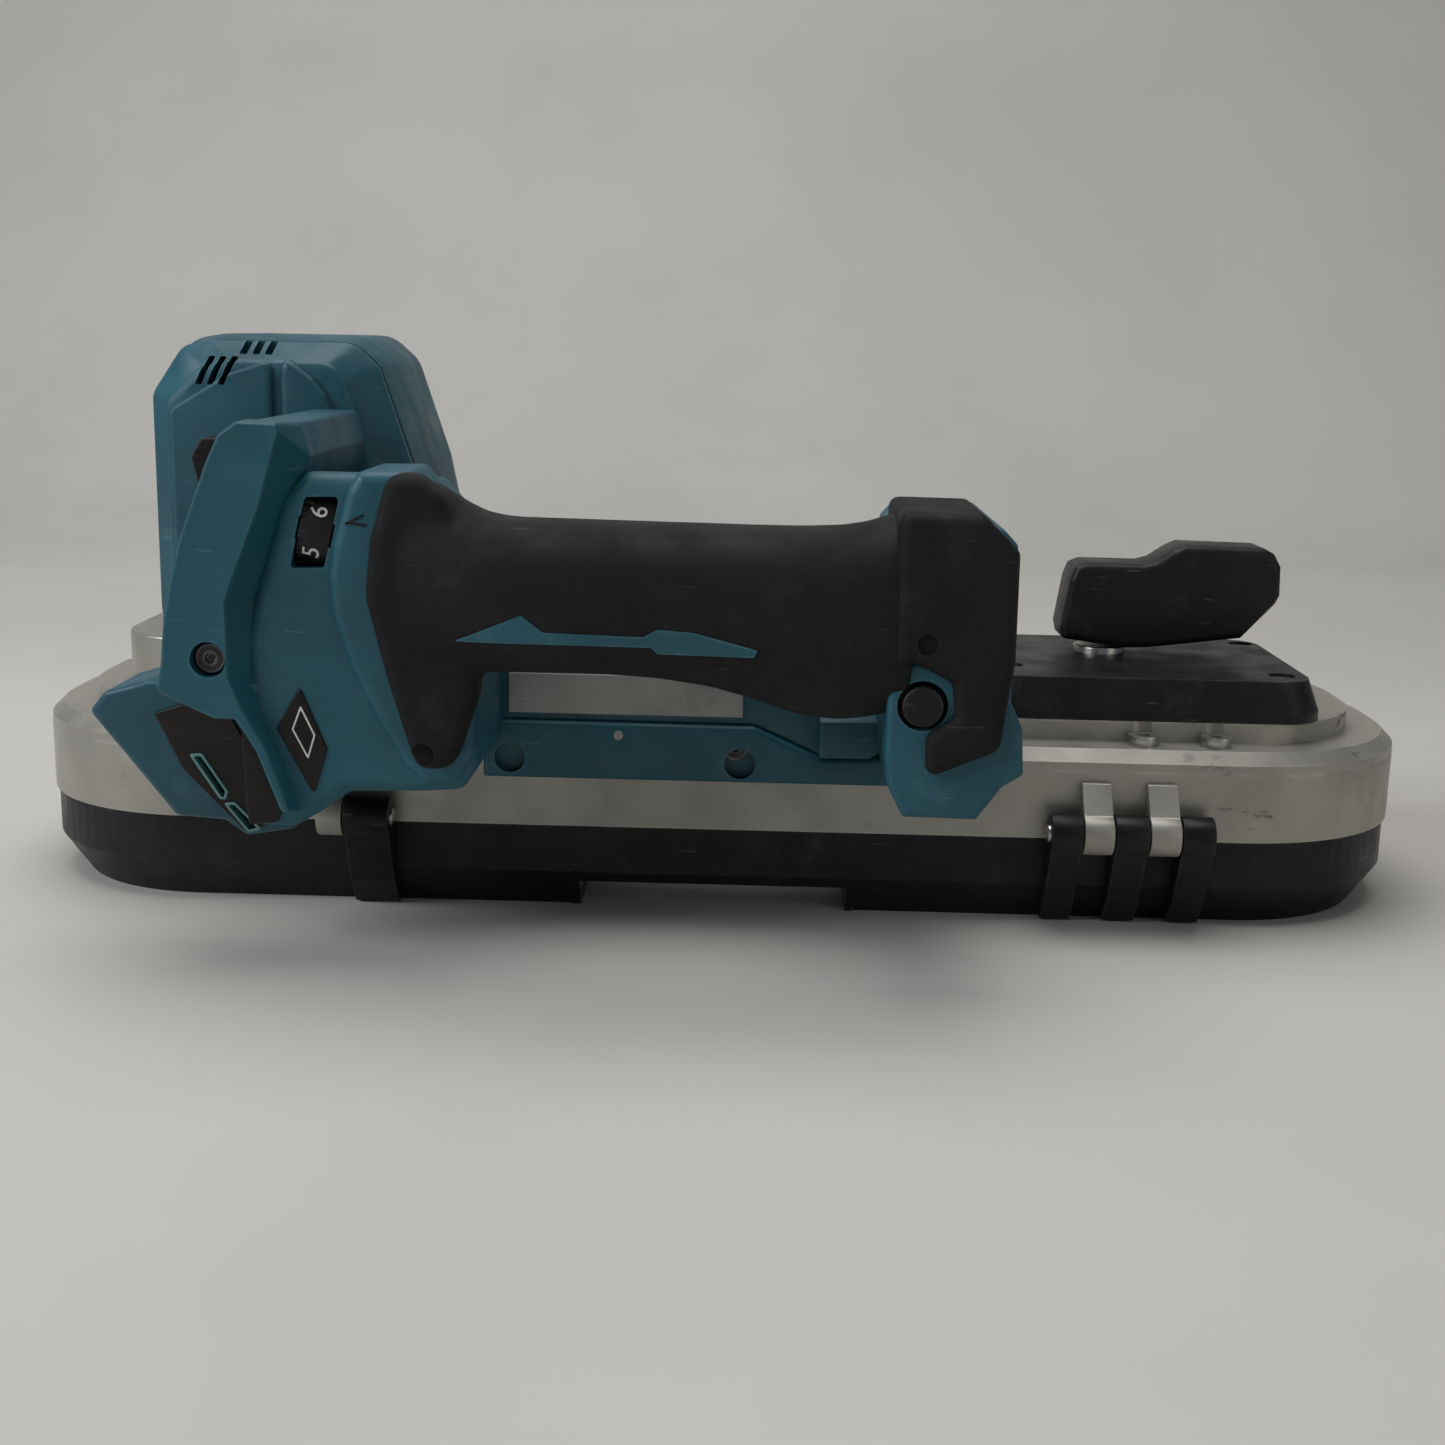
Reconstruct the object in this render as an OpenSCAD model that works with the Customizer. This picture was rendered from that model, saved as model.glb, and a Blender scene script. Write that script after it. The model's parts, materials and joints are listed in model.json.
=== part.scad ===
// Compact cordless portable band saw, lying on its wheel cover.
// +X points to the tension end, -Y to the main grip, +Z away from the wheel cover.
// The origin is at the centre of the footprint, on the surface that the saw lies on.

/* [Frame] */
// Length of the frame
frame_len = 416; // [408:1:424]
// Depth of the frame across the two blade runs
frame_depth = 124; // [122:1:128]
// Thickness of the frame's outer walls
frame_wall = 4; // [3:0.5:5]
// Height of the joint between wheel cover and frame
seam_z = 26; // [25:0.5:27]
// Height of the plateau on top of the frame
plateau_z = 58; // [57:0.5:59]

/* [Throat] */
// Width of the throat between the two blade guides
throat_w = 78; // [74:1:80]
// Depth of the throat
throat_depth = 88; // [84:1:90]

/* [Blade and wheels] */
// Distance between the wheel axes
wheel_spacing = 262; // [260:1:264]
// Radius of the wheels over their tyres
wheel_r = 50; // [49:0.5:50.5]
// Width of the blade
blade_w = 13; // [10:1:13]
// Thickness of the blade
blade_t = 0.5; // [0.4:0.1:0.6]

/* [Grip] */
// Width of the grip across the hand
grip_w = 40; // [36:1:42]
// Height of the grip
grip_h = 39; // [36:1:40]
// Thickness of the rubber on the grip
rubber_t = 2.5; // [2:0.5:3]

/* [Housing] */
// Wall thickness of the plastic housings
shell_t = 3; // [2.5:0.5:3.5]
// Height of the top of the motor housing
motor_top_z = 163; // [160:1:166]

/* [Hidden] */
$fn = 72;
gap = 0.3;
wheel_x = wheel_spacing / 2;
frame_near = -24;
half_depth = 103;
frame_far = frame_near + frame_depth;
wheel_y = frame_near + frame_depth / 2;
frame_corner = 55;
throat_y = frame_far - throat_depth;
throat_half = throat_w / 2;
blade_z = 19;
wheel_z = 11;
wheel_t = 16;
wheel_top = wheel_z + wheel_t;
web_z = 35;
web_t = 4;
bridge_floor = 8.4;
shoulder_z1 = 46;
shoulder_z2 = 52;
shoulder_step = 7;
hinge_y = frame_near - 6.4;
hinge_z = 29.2;
hinge_r = 5.8;
pin_r = 2.5;
fit = 0.05;
cover_knuckles = [[-105, -92], [95.8, 104.6], [113.8, 123.2], [132.6, 141.8]];
// start and end in X, and top
frame_lugs = [[-112.6, -105.4, 37.3], [105, 113.4, 44], [123.6, 132.2, 44]];
clip_x = [-110, 110];
split_z = 117;
// lock-off button
lock_x = 52;
lock_z = 79;
base_split_z = 62;
grip_y = -half_depth + grip_w / 2;
grip_z = 101;
rear_x1 = -60;
post_x0 = 46;
post_x1 = 76;
post_near = -half_depth + 2.5;
body_near = -91;
body_far = -10.8;
housing_back = frame_near - 0.4;
base_near = -40;
wing_near = -74;
// drive train
motor_xy = [-124, 20];
spindle_xy = [-wheel_x, wheel_y];
module_2 = 1;
teeth_out = 50;
teeth_lay_small = 11;
module_1 = 0.7;
teeth_lay_big = 44;
teeth_pinion = 10;
dist_2 = module_2 * (teeth_out + teeth_lay_small) / 2;
dist_1 = module_1 * (teeth_lay_big + teeth_pinion) / 2;
to_motor = atan2(motor_xy[1] - spindle_xy[1], motor_xy[0] - spindle_xy[0]);
span_sm = norm(motor_xy - spindle_xy);
lay_turn = acos((span_sm * span_sm + dist_2 * dist_2 - dist_1 * dist_1) / (2 * span_sm * dist_2));
lay_dir = to_motor + lay_turn;
lay_xy = spindle_xy + dist_2 * [cos(lay_dir), sin(lay_dir)];
stator_r = 23;
motor_split_y = 25;
// work lamp
lamp_y0 = -23;
lamp_w = 9;
lamp_z0 = 62;
lamp_h = 9;
// tension gear
cam_xy = [119.7, wheel_y + 5];
cam_throw = 2.6;
chamber = [88, 0, 172, 76];
cover_plate = [80, -8, 177, 73];
gear_chamber = [-176, -8, -84, 82];
tension_top = 70;
// speed dial
dial_r = 12.2;
dial_x = -98.7;
dial_y = -73.2;
dial_z = 116.4;
dial_tilt = 13;

// --- helpers ---
// A profile in X and Z, drawn along Y from y0 to y1.
module along_y(y0, y1) { translate([0, y1, 0]) rotate([90, 0, 0]) linear_extrude(y1 - y0) children(); }

// A profile in Y and Z, drawn along X from x0 to x1.
module along_x(x0, x1) { translate([x0, 0, 0]) rotate([90, 0, 90]) linear_extrude(x1 - x0) children(); }

// A profile in X and Y, drawn up from z0 to z1.
module up(z0, z1) { translate([0, 0, z0]) linear_extrude(z1 - z0) children(); }

// A rectangle between two corners, with round corners of radius r.
module round_box(x0, y0, x1, y1, r) {
    translate([x0 + r, y0]) square([x1 - x0 - 2 * r, y1 - y0]);
    translate([x0, y0 + r]) square([x1 - x0, y1 - y0 - 2 * r]);
    for (x = [x0 + r, x1 - r], y = [y0 + r, y1 - r]) translate([x, y]) circle(r);
}

module box_at(lo, hi) { translate(lo) cube(hi - lo); }

module disc(p, r, z0, z1) { translate([p[0], p[1], z0]) cylinder(r = r, h = z1 - z0); }

// --- plan outlines of frame and cover ---
module plan(inset = 0) {
    round_box(-frame_len / 2 + inset, frame_near + inset, frame_len / 2 - inset, frame_far - inset,
        frame_corner - inset);
}

// The C-shaped outline: the plan without the throat.
module c_plan(inset = 0) {
    difference() {
        plan(inset);
        round_box(-throat_half - inset, throat_y - inset, throat_half + inset, frame_far + 40, 8);
    }
}

module stepped(inset, drop) {
    up(seam_z - (drop > 0 ? 1 : 0), shoulder_z1 - drop) c_plan(inset);
    up(shoulder_z1 - drop - 0.5, shoulder_z2 - drop) c_plan(inset + shoulder_step);
    up(shoulder_z2 - drop - 0.5, plateau_z - drop) c_plan(inset + 2 * shoulder_step);
}

module near_lug(x0, x1) {
    along_x(x0, x1) difference() {
        union() {
            translate([hinge_y, hinge_z]) circle(hinge_r);
            polygon([[hinge_y - 2, hinge_z + 4.8], [hinge_y + 3.4, hinge_z - 4],
                [frame_near - 0.02, seam_z + 0.6], [frame_near - 0.02, 43], [frame_near - 1.8, 43]]);
        }
        translate([hinge_y, hinge_z]) circle(pin_r);
    }
}

module chamber_outline(c, grow, r) {
    round_box(c[0] - grow, c[1] - grow, c[2] + grow, c[3] + grow, r + grow);
}

module frame_inside() {
    up(seam_z - 1, web_z) c_plan(frame_wall);
    // the ring round the two chambers is hollow from below
    difference() {
        union() {
            up(web_z - 1, shoulder_z1 - frame_wall) c_plan(frame_wall + shoulder_step);
            up(web_z - 1, plateau_z - frame_wall) c_plan(frame_wall + 2 * shoulder_step);
        }
        up(web_z - 2, plateau_z) chamber_outline(chamber, frame_wall, 8);
        up(web_z - 2, plateau_z) chamber_outline(gear_chamber, frame_wall, 20);
    }
    up(web_z + web_t, plateau_z + 1) chamber_outline(chamber, 0, 8);
    up(web_z + web_t, plateau_z + 1) chamber_outline(gear_chamber, 0, 20);
}

module main_frame() {
    color("silver") difference() {
        union() {
            difference() {
                stepped(0, 0);
                frame_inside();
            }
            disc(spindle_xy, 17, web_z, web_z + 11);
            disc(lay_xy, 11, web_z + web_t - 0.5, web_z + 10);
        }
        disc(spindle_xy, 7, web_z - 1, web_z + 12);
        disc(spindle_xy, 13, web_z + 3, web_z + 12);
        disc(lay_xy, 8, web_z + web_t + 1, web_z + 12);
        // the idler axle's slot
        up(web_z - 1, web_z + web_t + 1) round_box(wheel_x - 15, wheel_y - 8, wheel_x + 9, wheel_y + 8, 7.9);
        for (s = frame_screw_spots()) {
            disc(s, 2.5, 40, 60);
            disc(s, 4.7, shoulder_z2, plateau_z + 1);
        }
        for (s = tension_screw_spots()) disc(s, 2, 44, 60);
        for (s = rail_screw_spots()) disc(s, 2, web_z - 1, 44);
        for (x = stopper_screw_x) translate([x, frame_far - 8, 36]) rotate([-90, 0, 0]) cylinder(r = 2, h = 9);
    }
}

module wheel_cover() {
    color("#1c1c1e") difference() {
        union() {
            difference() {
                hull() {
                    up(0, 0.4) plan(9);
                    up(12, seam_z - gap) plan(1);
                }
                hull() {
                    up(2.6, 3) plan(11);
                    up(12, seam_z) plan(3.6);
                }
                cover_throat(0);
            }
            // the wall round the throat and the raised floor of the bridge
            intersection() {
                up(0, seam_z - gap) difference() {
                    cover_throat_outline(-2.6);
                    cover_throat_outline(0);
                }
                hull() {
                    up(0, 0.4) plan(9);
                    up(12, seam_z - gap) plan(1);
                }
            }
            up(bridge_floor, bridge_floor + 2.4)
                round_box(-throat_half - 2, frame_near + 4, throat_half + 2, throat_y - 0.2, 1);
            for (x = [-throat_half - 2.4, throat_half])
                box_at([x, frame_near + 8, 0], [x + 2.4, throat_y + 1, bridge_floor + 2]);
        }
        // relief under the bridge
        box_at([-throat_half, frame_near - 1, -1], [throat_half, throat_y + 3, bridge_floor]);
        // windows for the blade and its guides
        box_at([-throat_half - 3.6, 64, 9], [throat_half + 3.6, 98, seam_z + 1]);
    }
}

module cover_throat_outline(grow) {
    round_box(-throat_half + grow, throat_y + grow, throat_half - grow, frame_far + 40, 8 + grow / 2);
}

module cover_throat(grow) { up(-1, seam_z + 1) cover_throat_outline(grow); }

module hinge_lugs() { color("silver") for (l = frame_lugs)
    intersection() { near_lug(l[0], l[1]); below(l[2]); } }

// Arms that hug the cover's near wall and turn on the hinge pins.
module hinge_arms() {
    color("#1c1c1e") for (k = cover_knuckles) along_x(k[0], k[1]) difference() {
        union() {
            translate([hinge_y, hinge_z]) circle(hinge_r);
            polygon([[hinge_y - hinge_r, hinge_z], [hinge_y + hinge_r - 0.2, hinge_z - 3.6],
                [frame_near + 0.9, seam_z - 1], [frame_near + 0.9, 12], [frame_near + 8.2, 0.5],
                [frame_near + 4, 0.5], [frame_near - 2.6, 9]]);
        }
        translate([hinge_y, hinge_z]) circle(pin_r + fit);
    }
}

module hinge_pins() {
    color("silver") for (s = [[-113.2, -91.4], [95, 142.6]])
        translate([s[0], hinge_y, hinge_z]) rotate([0, 90, 0]) cylinder(r = pin_r - 0.001, h = s[1] - s[0]);
}

// Spring clips that hold the cover's free edge against the frame.
module cover_clips() {
    color("silver") for (x = clip_x) along_x(x - 5, x + 5) polygon([[frame_far - 0.9, 14], [frame_far - 0.9, 22],
        [frame_far + 0.4, 24], [frame_far + 0.4, 36], [frame_far + 2.8, 40], [frame_far + 2.8, 38.6],
        [frame_far + 1.6, 35], [frame_far + 1.6, 22.6], [frame_far + 0.4, 14]]);
}

// --- drive train ---
function inv(a) = tan(a) - a * PI / 180;
function tooth_half(z, m, pa, slack, r) =
    let (rp = m * z / 2, rb = rp * cos(pa), a = r > rb ? acos(rb / r) : 0)
    90 / z - slack / rp * 90 / PI + (inv(pa) - inv(a)) * 180 / PI;
function tooth_radii(z, m, pa) =
    let (rp = m * z / 2) [rp - 1.15 * m, max(rp * cos(pa), rp - 0.5 * m), rp + 0.1 * m, rp + 0.8 * m];
function gear_points(z, m, pa, slack) = let (radii = tooth_radii(z, m, pa)) [
    for (t = [0:z - 1]) each concat(
        [for (r = radii) let (a = t * 360 / z - tooth_half(z, m, pa, slack, r)) [r * cos(a), r * sin(a)]],
        [for (i = [3:-1:0]) let (r = radii[i], a = t * 360 / z + tooth_half(z, m, pa, slack, r))
            [r * cos(a), r * sin(a)]])];

module gear(z, m, turn, z0, z1) {
    translate([0, 0, z0]) rotate([0, 0, turn]) linear_extrude(z1 - z0) polygon(gear_points(z, m, 22, 0.3));
}

// The turn that puts a tooth gap of the driven gear where the driver's tooth points.
lay_small_turn = lay_dir + 180;
out_turn = lay_dir + 180 / teeth_out;
pinion_dir = atan2(motor_xy[1] - lay_xy[1], motor_xy[0] - lay_xy[0]);
lay_big_turn = pinion_dir + 180 / teeth_lay_big;
pinion_turn = pinion_dir + 180;

module at(p) { translate([p[0], p[1], 0]) children(); }

module output_gear() {
    color("dimgray") at(spindle_xy) difference() {
        union() {
            gear(teeth_out, module_2, out_turn, 49, 57);
            disc([0, 0], 11, 47.5, 49.01);
        }
        disc([0, 0], 6, 40, 70);
        for (a = [0:60:300]) disc(15 * [cos(a), sin(a)], 4, 40, 70);
    }
}

module intermediate_gear() {
    color("dimgray") at(lay_xy) {
        gear(teeth_lay_small, module_2, lay_small_turn, 48, 60);
        gear(teeth_lay_big, module_1, lay_big_turn, 60, 66);
        disc([0, 0], 4, 41, 60);
        disc([0, 0], 4, 65, 73.5);
    }
}

module ring(p, r_in, r_out, z0, z1) {
    at(p) difference() {
        disc([0, 0], r_out, z0, z1);
        disc([0, 0], r_in, z0 - 1, z1 + 1);
    }
}

module drive_spindle() {
    color("gray") at(spindle_xy) {
        disc([0, 0], 6, 8, 66.5);
        disc([0, 0], 10, 5.5, 10.4);
    }
}

module spindle_bearings() {
    color("gainsboro") {
        ring(spindle_xy, 6 + fit, 13, web_z + 3, web_z + 11);
        ring(spindle_xy, 6 + fit, 11, 60, 66);
    }
}

module intermediate_bearings() {
    color("gainsboro") {
        ring(lay_xy, 4 + fit, 8, web_z + web_t + 1.5, web_z + web_t + 6);
        ring(lay_xy, 4 + fit, 8, 68.5, 73.5);
    }
}

module wheel_disc(p, hub_r, bore_r) {
    at(p) difference() {
        union() {
            disc([0, 0], wheel_r - 3, wheel_z, wheel_top - 1);
            disc([0, 0], hub_r, wheel_z, wheel_top + 2);
        }
        difference() {
            disc([0, 0], wheel_r - 8, wheel_z - 1, wheel_z + 4);
            disc([0, 0], hub_r + 4, wheel_z - 2, wheel_z + 5);
        }
        difference() {
            disc([0, 0], wheel_r - 8, wheel_top - 5, wheel_top);
            disc([0, 0], hub_r, wheel_top - 6, wheel_top + 1);
        }
        for (a = [0:60:300]) disc(30 * [cos(a), sin(a)], 7, 0, 40);
        disc([0, 0], bore_r, 0, 60);
    }
}

module tyre(p) { color("#202020") ring(p, wheel_r - 3, wheel_r, wheel_z, wheel_top - 1); }

module drive_wheel() { color("silver") wheel_disc(spindle_xy, 14, 6); }

module drive_tyre() { tyre(spindle_xy); }

module idler_wheel() { color("silver") wheel_disc([wheel_x, wheel_y], 15, 11); }

module idler_tyre() { tyre([wheel_x, wheel_y]); }

module idler_bearings() {
    color("gainsboro") for (z = [wheel_z + 1, wheel_top - 6]) ring([wheel_x, wheel_y], 6 + fit, 11, z, z + 7);
}

module idler_axle() {
    color("gray") at([wheel_x, wheel_y]) {
        disc([0, 0], 6, wheel_z, 46);
        disc([0, 0], 8.5, 8, wheel_z);
    }
}

module gear_case() {
    color("silver") difference() {
        up(plateau_z + 0.02, 76) chamber_outline(gear_chamber, 2, 20);
        difference() {
            up(plateau_z - 1, 68) chamber_outline(gear_chamber, -2, 20);
            disc(spindle_xy, 13.8, plateau_z, 69);
        }
        disc(spindle_xy, 11, 59.9, 66.6);
        disc(spindle_xy, 8, plateau_z - 1, 60);
        disc(lay_xy, 8, 67, 73.6);
        disc(motor_xy, 9.5, 70, 77);
        disc(motor_xy, 5, 67, 77);
    }
}

// --- motor ---
module motor_stator() {
    color("#5a4632") difference() {
        disc(motor_xy, stator_r, 88, 130);
        disc(motor_xy, 13, 87, 131);
        for (a = [0:60:300]) disc(motor_xy + 18 * [cos(a + 30), sin(a + 30)], 3, 87, 131);
    }
}

module motor_rotor() {
    color("gray") {
        at(motor_xy) {
            gear(teeth_pinion, module_1, pinion_turn, 59.5, 67.5);
            disc([0, 0], 2.4, 66, 71);
            disc([0, 0], 4, 70, 146);
            disc([0, 0], 12.5, 88, 130);
        }
    }
}

module cooling_fan() {
    color("#303030") at(motor_xy) difference() {
        union() {
            disc([0, 0], 8, 78.5, 86.5);
            disc([0, 0], 22, 85, 86.5);
            for (a = [0:30:330]) rotate([0, 0, a]) translate([6, -0.6, 79]) cube([16, 1.2, 6.5]);
        }
        disc([0, 0], 4, 70, 100);
    }
}

module motor_bearings() {
    color("gainsboro") {
        ring(motor_xy, 4 + fit, 9.5, 70.5, 76);
        ring(motor_xy, 4 + fit, 9.5, 140, 146);
    }
}

// --- motor housing ---
motor_outline = [[-168, 76.4], [-168, 146], [-166, 154], [-158, 161], [-148, motor_top_z],
    [-106, motor_top_z], [-99, 158], [-88, 124], [-82, 98], [-82, 76.4]];
motor_near_outline = [[-166, 76.4], [-166, 146], [-164, 153], [-156, 159.5], [-148, 161.5],
    [-110, 161.5], [-104, 156.5], [-94, 124], [-88, 98], [-88, 76.4]];
motor_inner_outline = [[-162, 75], [-162, 146], [-154, 156], [-148, 158], [-112, 158],
    [-107, 154], [-97, 124], [-91, 98], [-91, 75]];

// The space inside the motor housing, round the seat of the upper motor bearing.
module motor_cavity() {
    difference() {
        along_y(-4.2, 62) polygon(motor_inner_outline);
        difference() {
            disc(motor_xy, 12.5, 139, 162);
            disc(motor_xy, 9.5, 138, 146.2);
        }
    }
}

module motor_vents() {
    for (i = [0:4]) translate([-154 + 5.2 * i, -8, 159]) rotate([0, 24, 0]) cube([2, 26, 14], center = true);
    for (i = [0:3]) translate([-165, -4, 146 - 6 * i]) rotate([0, 24, 0]) cube([14, 30, 2.2], center = true);
    for (i = [0:3]) translate([-150 + 11 * i, 69, 132]) cube([4, 22, 22], center = true);
}

module motor_housing_near() {
    color("teal") difference() {
        hull() {
            along_y(-6, motor_split_y) polygon(motor_near_outline);
            along_y(-10.4, -10.3) polygon([[-156, 80], [-156, 146], [-146, 154], [-116, 154], [-108, 124],
                [-104, 80]]);
        }
        motor_cavity();
        motor_vents();
    }
}

module motor_housing_far() {
    color("teal") difference() {
        hull() {
            along_y(motor_split_y + 0.02, 64) polygon(motor_outline);
            along_y(75.9, 76) polygon([[-156, 80], [-156, 146], [-146, 154], [-114, 154], [-102, 124], [-96, 80]]);
        }
        motor_cavity();
        motor_vents();
    }
}

// --- rear housing, grip and base ---
rear_outline = [[-140, 77], [-139, 92], [-132, 121], [-127, 134], [-120, 143], [-106, 143], [-103, 138],
    [-102, 131.5], [-80, 131.5], [-74, 129], [-66, 121.5], [rear_x1, 118], [rear_x1, 56], [-66, 50.5],
    [-75, 45.5], [-97, 42], [-104, 37.5], [-112, 37.5], [-114, 76]];
battery_cut = [[-160, 60], [-118, 60], [-118, 78], [-114, 104], [-108, 126], [-104, 150], [-160, 150]];

// The grip's section, drawn in Y and Z, inset from the outside of its rubber.
module grip_section(inset) {
    round_box(grip_y - grip_w / 2 + inset, grip_z - grip_h / 2 + inset,
        grip_y + grip_w / 2 - inset, grip_z + grip_h / 2 - inset, 17.5 - inset);
}

module grip_core(inset) { along_x(rear_x1 - 8, post_x0 + 6) grip_section(rubber_t + inset); }

module grip_outer() { along_x(rear_x1 + 0.02, post_x0) grip_section(0); }

// The space that the frame takes from the housings.
module frame_room(inset) {
    up(0, shoulder_z1 + 0.1 + inset) plan(-0.1 - inset);
    up(0, shoulder_z2 + 0.1 + inset) plan(shoulder_step - 0.1 - inset);
    up(0, plateau_z + 0.1 + inset) plan(2 * shoulder_step - 0.1 - inset);
}

// The solid that the clamshell halves are cut from.
module body_solid(inset) {
    difference() {
        along_y(body_near + inset, body_far - inset) offset(delta = -inset) polygon(rear_outline);
        along_y(body_near + 12 - inset, 0) offset(delta = inset) polygon(battery_cut);
        frame_room(inset);
    }
    grip_core(inset);
    along_y(post_near + 2.5 + inset, housing_back - inset) offset(delta = -inset)
        polygon([[post_x0 + 2, 51], [post_x0 + 5, 48], [68, 48], [73.5, 53], [73.5, 120], [70, 122.5],
            [post_x0 + 4, 122.5], [post_x0 + 2, 120]]);
    along_y(base_near + inset, housing_back - inset) offset(delta = -inset)
        polygon([[-68, 44], [post_x0 + 8, 44], [post_x0 + 8, 74], [-40, 78], [-68, 78]]);
}

module body_void() {
    body_solid(shell_t);
    // passages between grip, rear housing, front post and base
    along_x(rear_x1 - 12, post_x0 + 12) round_box(grip_y - 11, grip_z - 11, grip_y + 11, grip_z + 11, 8);
    box_at([-80, base_near + shell_t, 48], [post_x0 + 10, housing_back - shell_t, 70]);
}

module body_shell() {
    difference() {
        body_solid(0);
        body_void();
        // speed dial window
        at_dial() {
            box_at([-4.6, -dial_r - 8, -9.4], [4.6, 1, 9.4]);
            translate([-4.3, 0, 0]) rotate([0, 90, 0]) cylinder(r = dial_r + 0.6, h = 8.6);
        }
        // trigger opening on the inner side of the grip
        box_at([13.4, grip_y + 6, grip_z - 8.6], [42.6, grip_y + 30, grip_z + 8.6]);
        // lock-off button in the front post
        translate([lock_x, post_near - 2, lock_z]) rotate([-90, 0, 0]) cylinder(r = 5.3, h = 10);
        translate([lock_x, post_near + 5.2, lock_z]) rotate([-90, 0, 0]) cylinder(r = 6.3, h = 7);
        for (s = housing_screw_spots()) screw_seat(s);
        // bays for the lamp, the name plate, the lamp panel and the battery rails
        box_at([rear_x1 - 3.4, lamp_y0, lamp_z0], [rear_x1 + 1, lamp_y0 + lamp_w, lamp_z0 + lamp_h]);
        box_at([-57.3, base_near - 1, base_split_z + 0.2], [8.3, base_near + 1.4, 74]);
        along_y(body_near - 1, body_near + 1.6) offset(delta = gap) polygon(lamp_outline);
        battery_rail_seat();
    }
}

module battery_rail_seat() {
    along_y(body_near + 12, body_far + 1) polygon([[-130, 84], [-112, 84], [-105, 136], [-130, 136]]);
}

module above(z) { box_at([-300, -300, z], [300, 300, 300]); }
module below(z) { box_at([-300, -300, -10], [300, 300, z]); }

module housing_upper() {
    color("teal") intersection() { body_shell(); above(split_z + 0.01); }
}

module housing_main() {
    color("teal") intersection() {
        body_shell();
        box_at([-300, -300, base_split_z + 0.01], [300, 300, split_z - 0.01]);
    }
}

module housing_base() {
    color("teal") intersection() { body_shell(); below(base_split_z - 0.01); }
}

wing_outline = [[-162, 68], [-160, 72.4], [-148, 75.9], [-114.6, 75.6], [-112.8, 45], [-112.8, 36], [-128, 31.2],
    [-144, 36.4]];
vent_outline = [[-150, 68], [-137, 71.6], [-130, 67.5], [-121, 50], [-114, 38], [-127, 33.4], [-131, 39]];
lamp_outline = [[-99, 76], [-104, 65], [-96, 47], [-92.5, 61]];

module rear_wing() {
    color("teal") difference() {
        intersection() {
            along_y(wing_near, housing_back) polygon(wing_outline);
            wing_wedge(0);
        }
        intersection() {
            along_y(wing_near - 1, housing_back) offset(delta = 0.1) polygon(vent_outline);
            difference() {
                wing_wedge(-1);
                wing_wedge(1.7);
            }
        }
        intersection() {
            along_y(wing_near, housing_back - 3) offset(delta = -3) polygon(wing_outline);
            wing_wedge(4.4);
        }
        vent_slots();
    }
}

// The near face of the wing leans back towards the floor.
module wing_wedge(back) {
    along_x(-200, -100) polygon([[wing_near + back, 85], [wing_near + 12 + back, 30], [housing_back, 30],
        [housing_back, 85]]);
}

module vent_slots() {
    for (i = [0, 1]) translate([-135.5 + 10.5 * i, wing_near + 6, 62 - 17 * i]) rotate([0, 28, 0])
        cube([3, 18, 14], center = true);
}

module vent_panel() {
    color("#241d1a") difference() {
        intersection() {
            along_y(wing_near - 1, housing_back) polygon(vent_outline);
            difference() {
                wing_wedge(0.1);
                wing_wedge(1.6);
            }
        }
        vent_slots();
    }
}

module lamp_panel() { color("#241d1a") along_y(body_near, body_near + 1.5) polygon(lamp_outline); }

module battery_rails() {
    color("#232325") {
        along_y(body_near + 12.1, body_far - 0.1) polygon([[-117.6, 84.1], [-113, 84.1], [-105.5, 135.9],
            [-107.5, 135.9], [-114.2, 104]]);
        // hooked guide rails
        along_y(-40, body_far - 0.1) polygon([[-107, 135.9], [-140, 135.9], [-143, 131], [-141, 122],
            [-136, 122], [-136, 129], [-128, 129.4], [-107.6, 129.4]]);
        along_y(-40, body_far - 0.1) polygon([[-115, 84.1], [-146, 84.1], [-148, 88], [-147, 96],
            [-142, 96], [-142, 90.6], [-134, 90.4], [-115, 90.4]]);
    }
}

module terminal_block() {
    color("#1a1a1a") difference() {
        along_y(-52, -12) polygon([[-115.2, 100.5], [-130, 102], [-127.6, 119], [-111.4, 119]]);
        for (z = [105, 110, 115]) box_at([-126, -60, z - 1.2], [-118, -16, z + 1.2]);
    }
}

module battery_terminals() {
    color("gold") for (z = [105, 110, 115]) box_at([-124.4, -48, z - 0.5], [-118, -16, z + 0.5]);
}

module grip_rubber() {
    color("#232325") difference() {
        grip_outer();
        grip_core(0);
        box_at([13.4, grip_y + 6, grip_z - 8.6], [42.6, grip_y + 30, grip_z + 8.6]);
        along_y(grip_y - 30, grip_y - 12) offset(delta = 0.05) polygon(inlay_outline);
    }
}

inlay_outline = [[-62, 92.5], [-50, 94], [-47, 91], [-22, 91], [-18, 93], [6, 88.5], [4, 86], [-30, 86.5], [-62, 90]];

module grip_inlay() {
    color("teal") intersection() {
        along_y(grip_y - 30, grip_y - 12) polygon(inlay_outline);
        difference() {
            grip_outer();
            grip_core(0);
        }
    }
}

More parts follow.
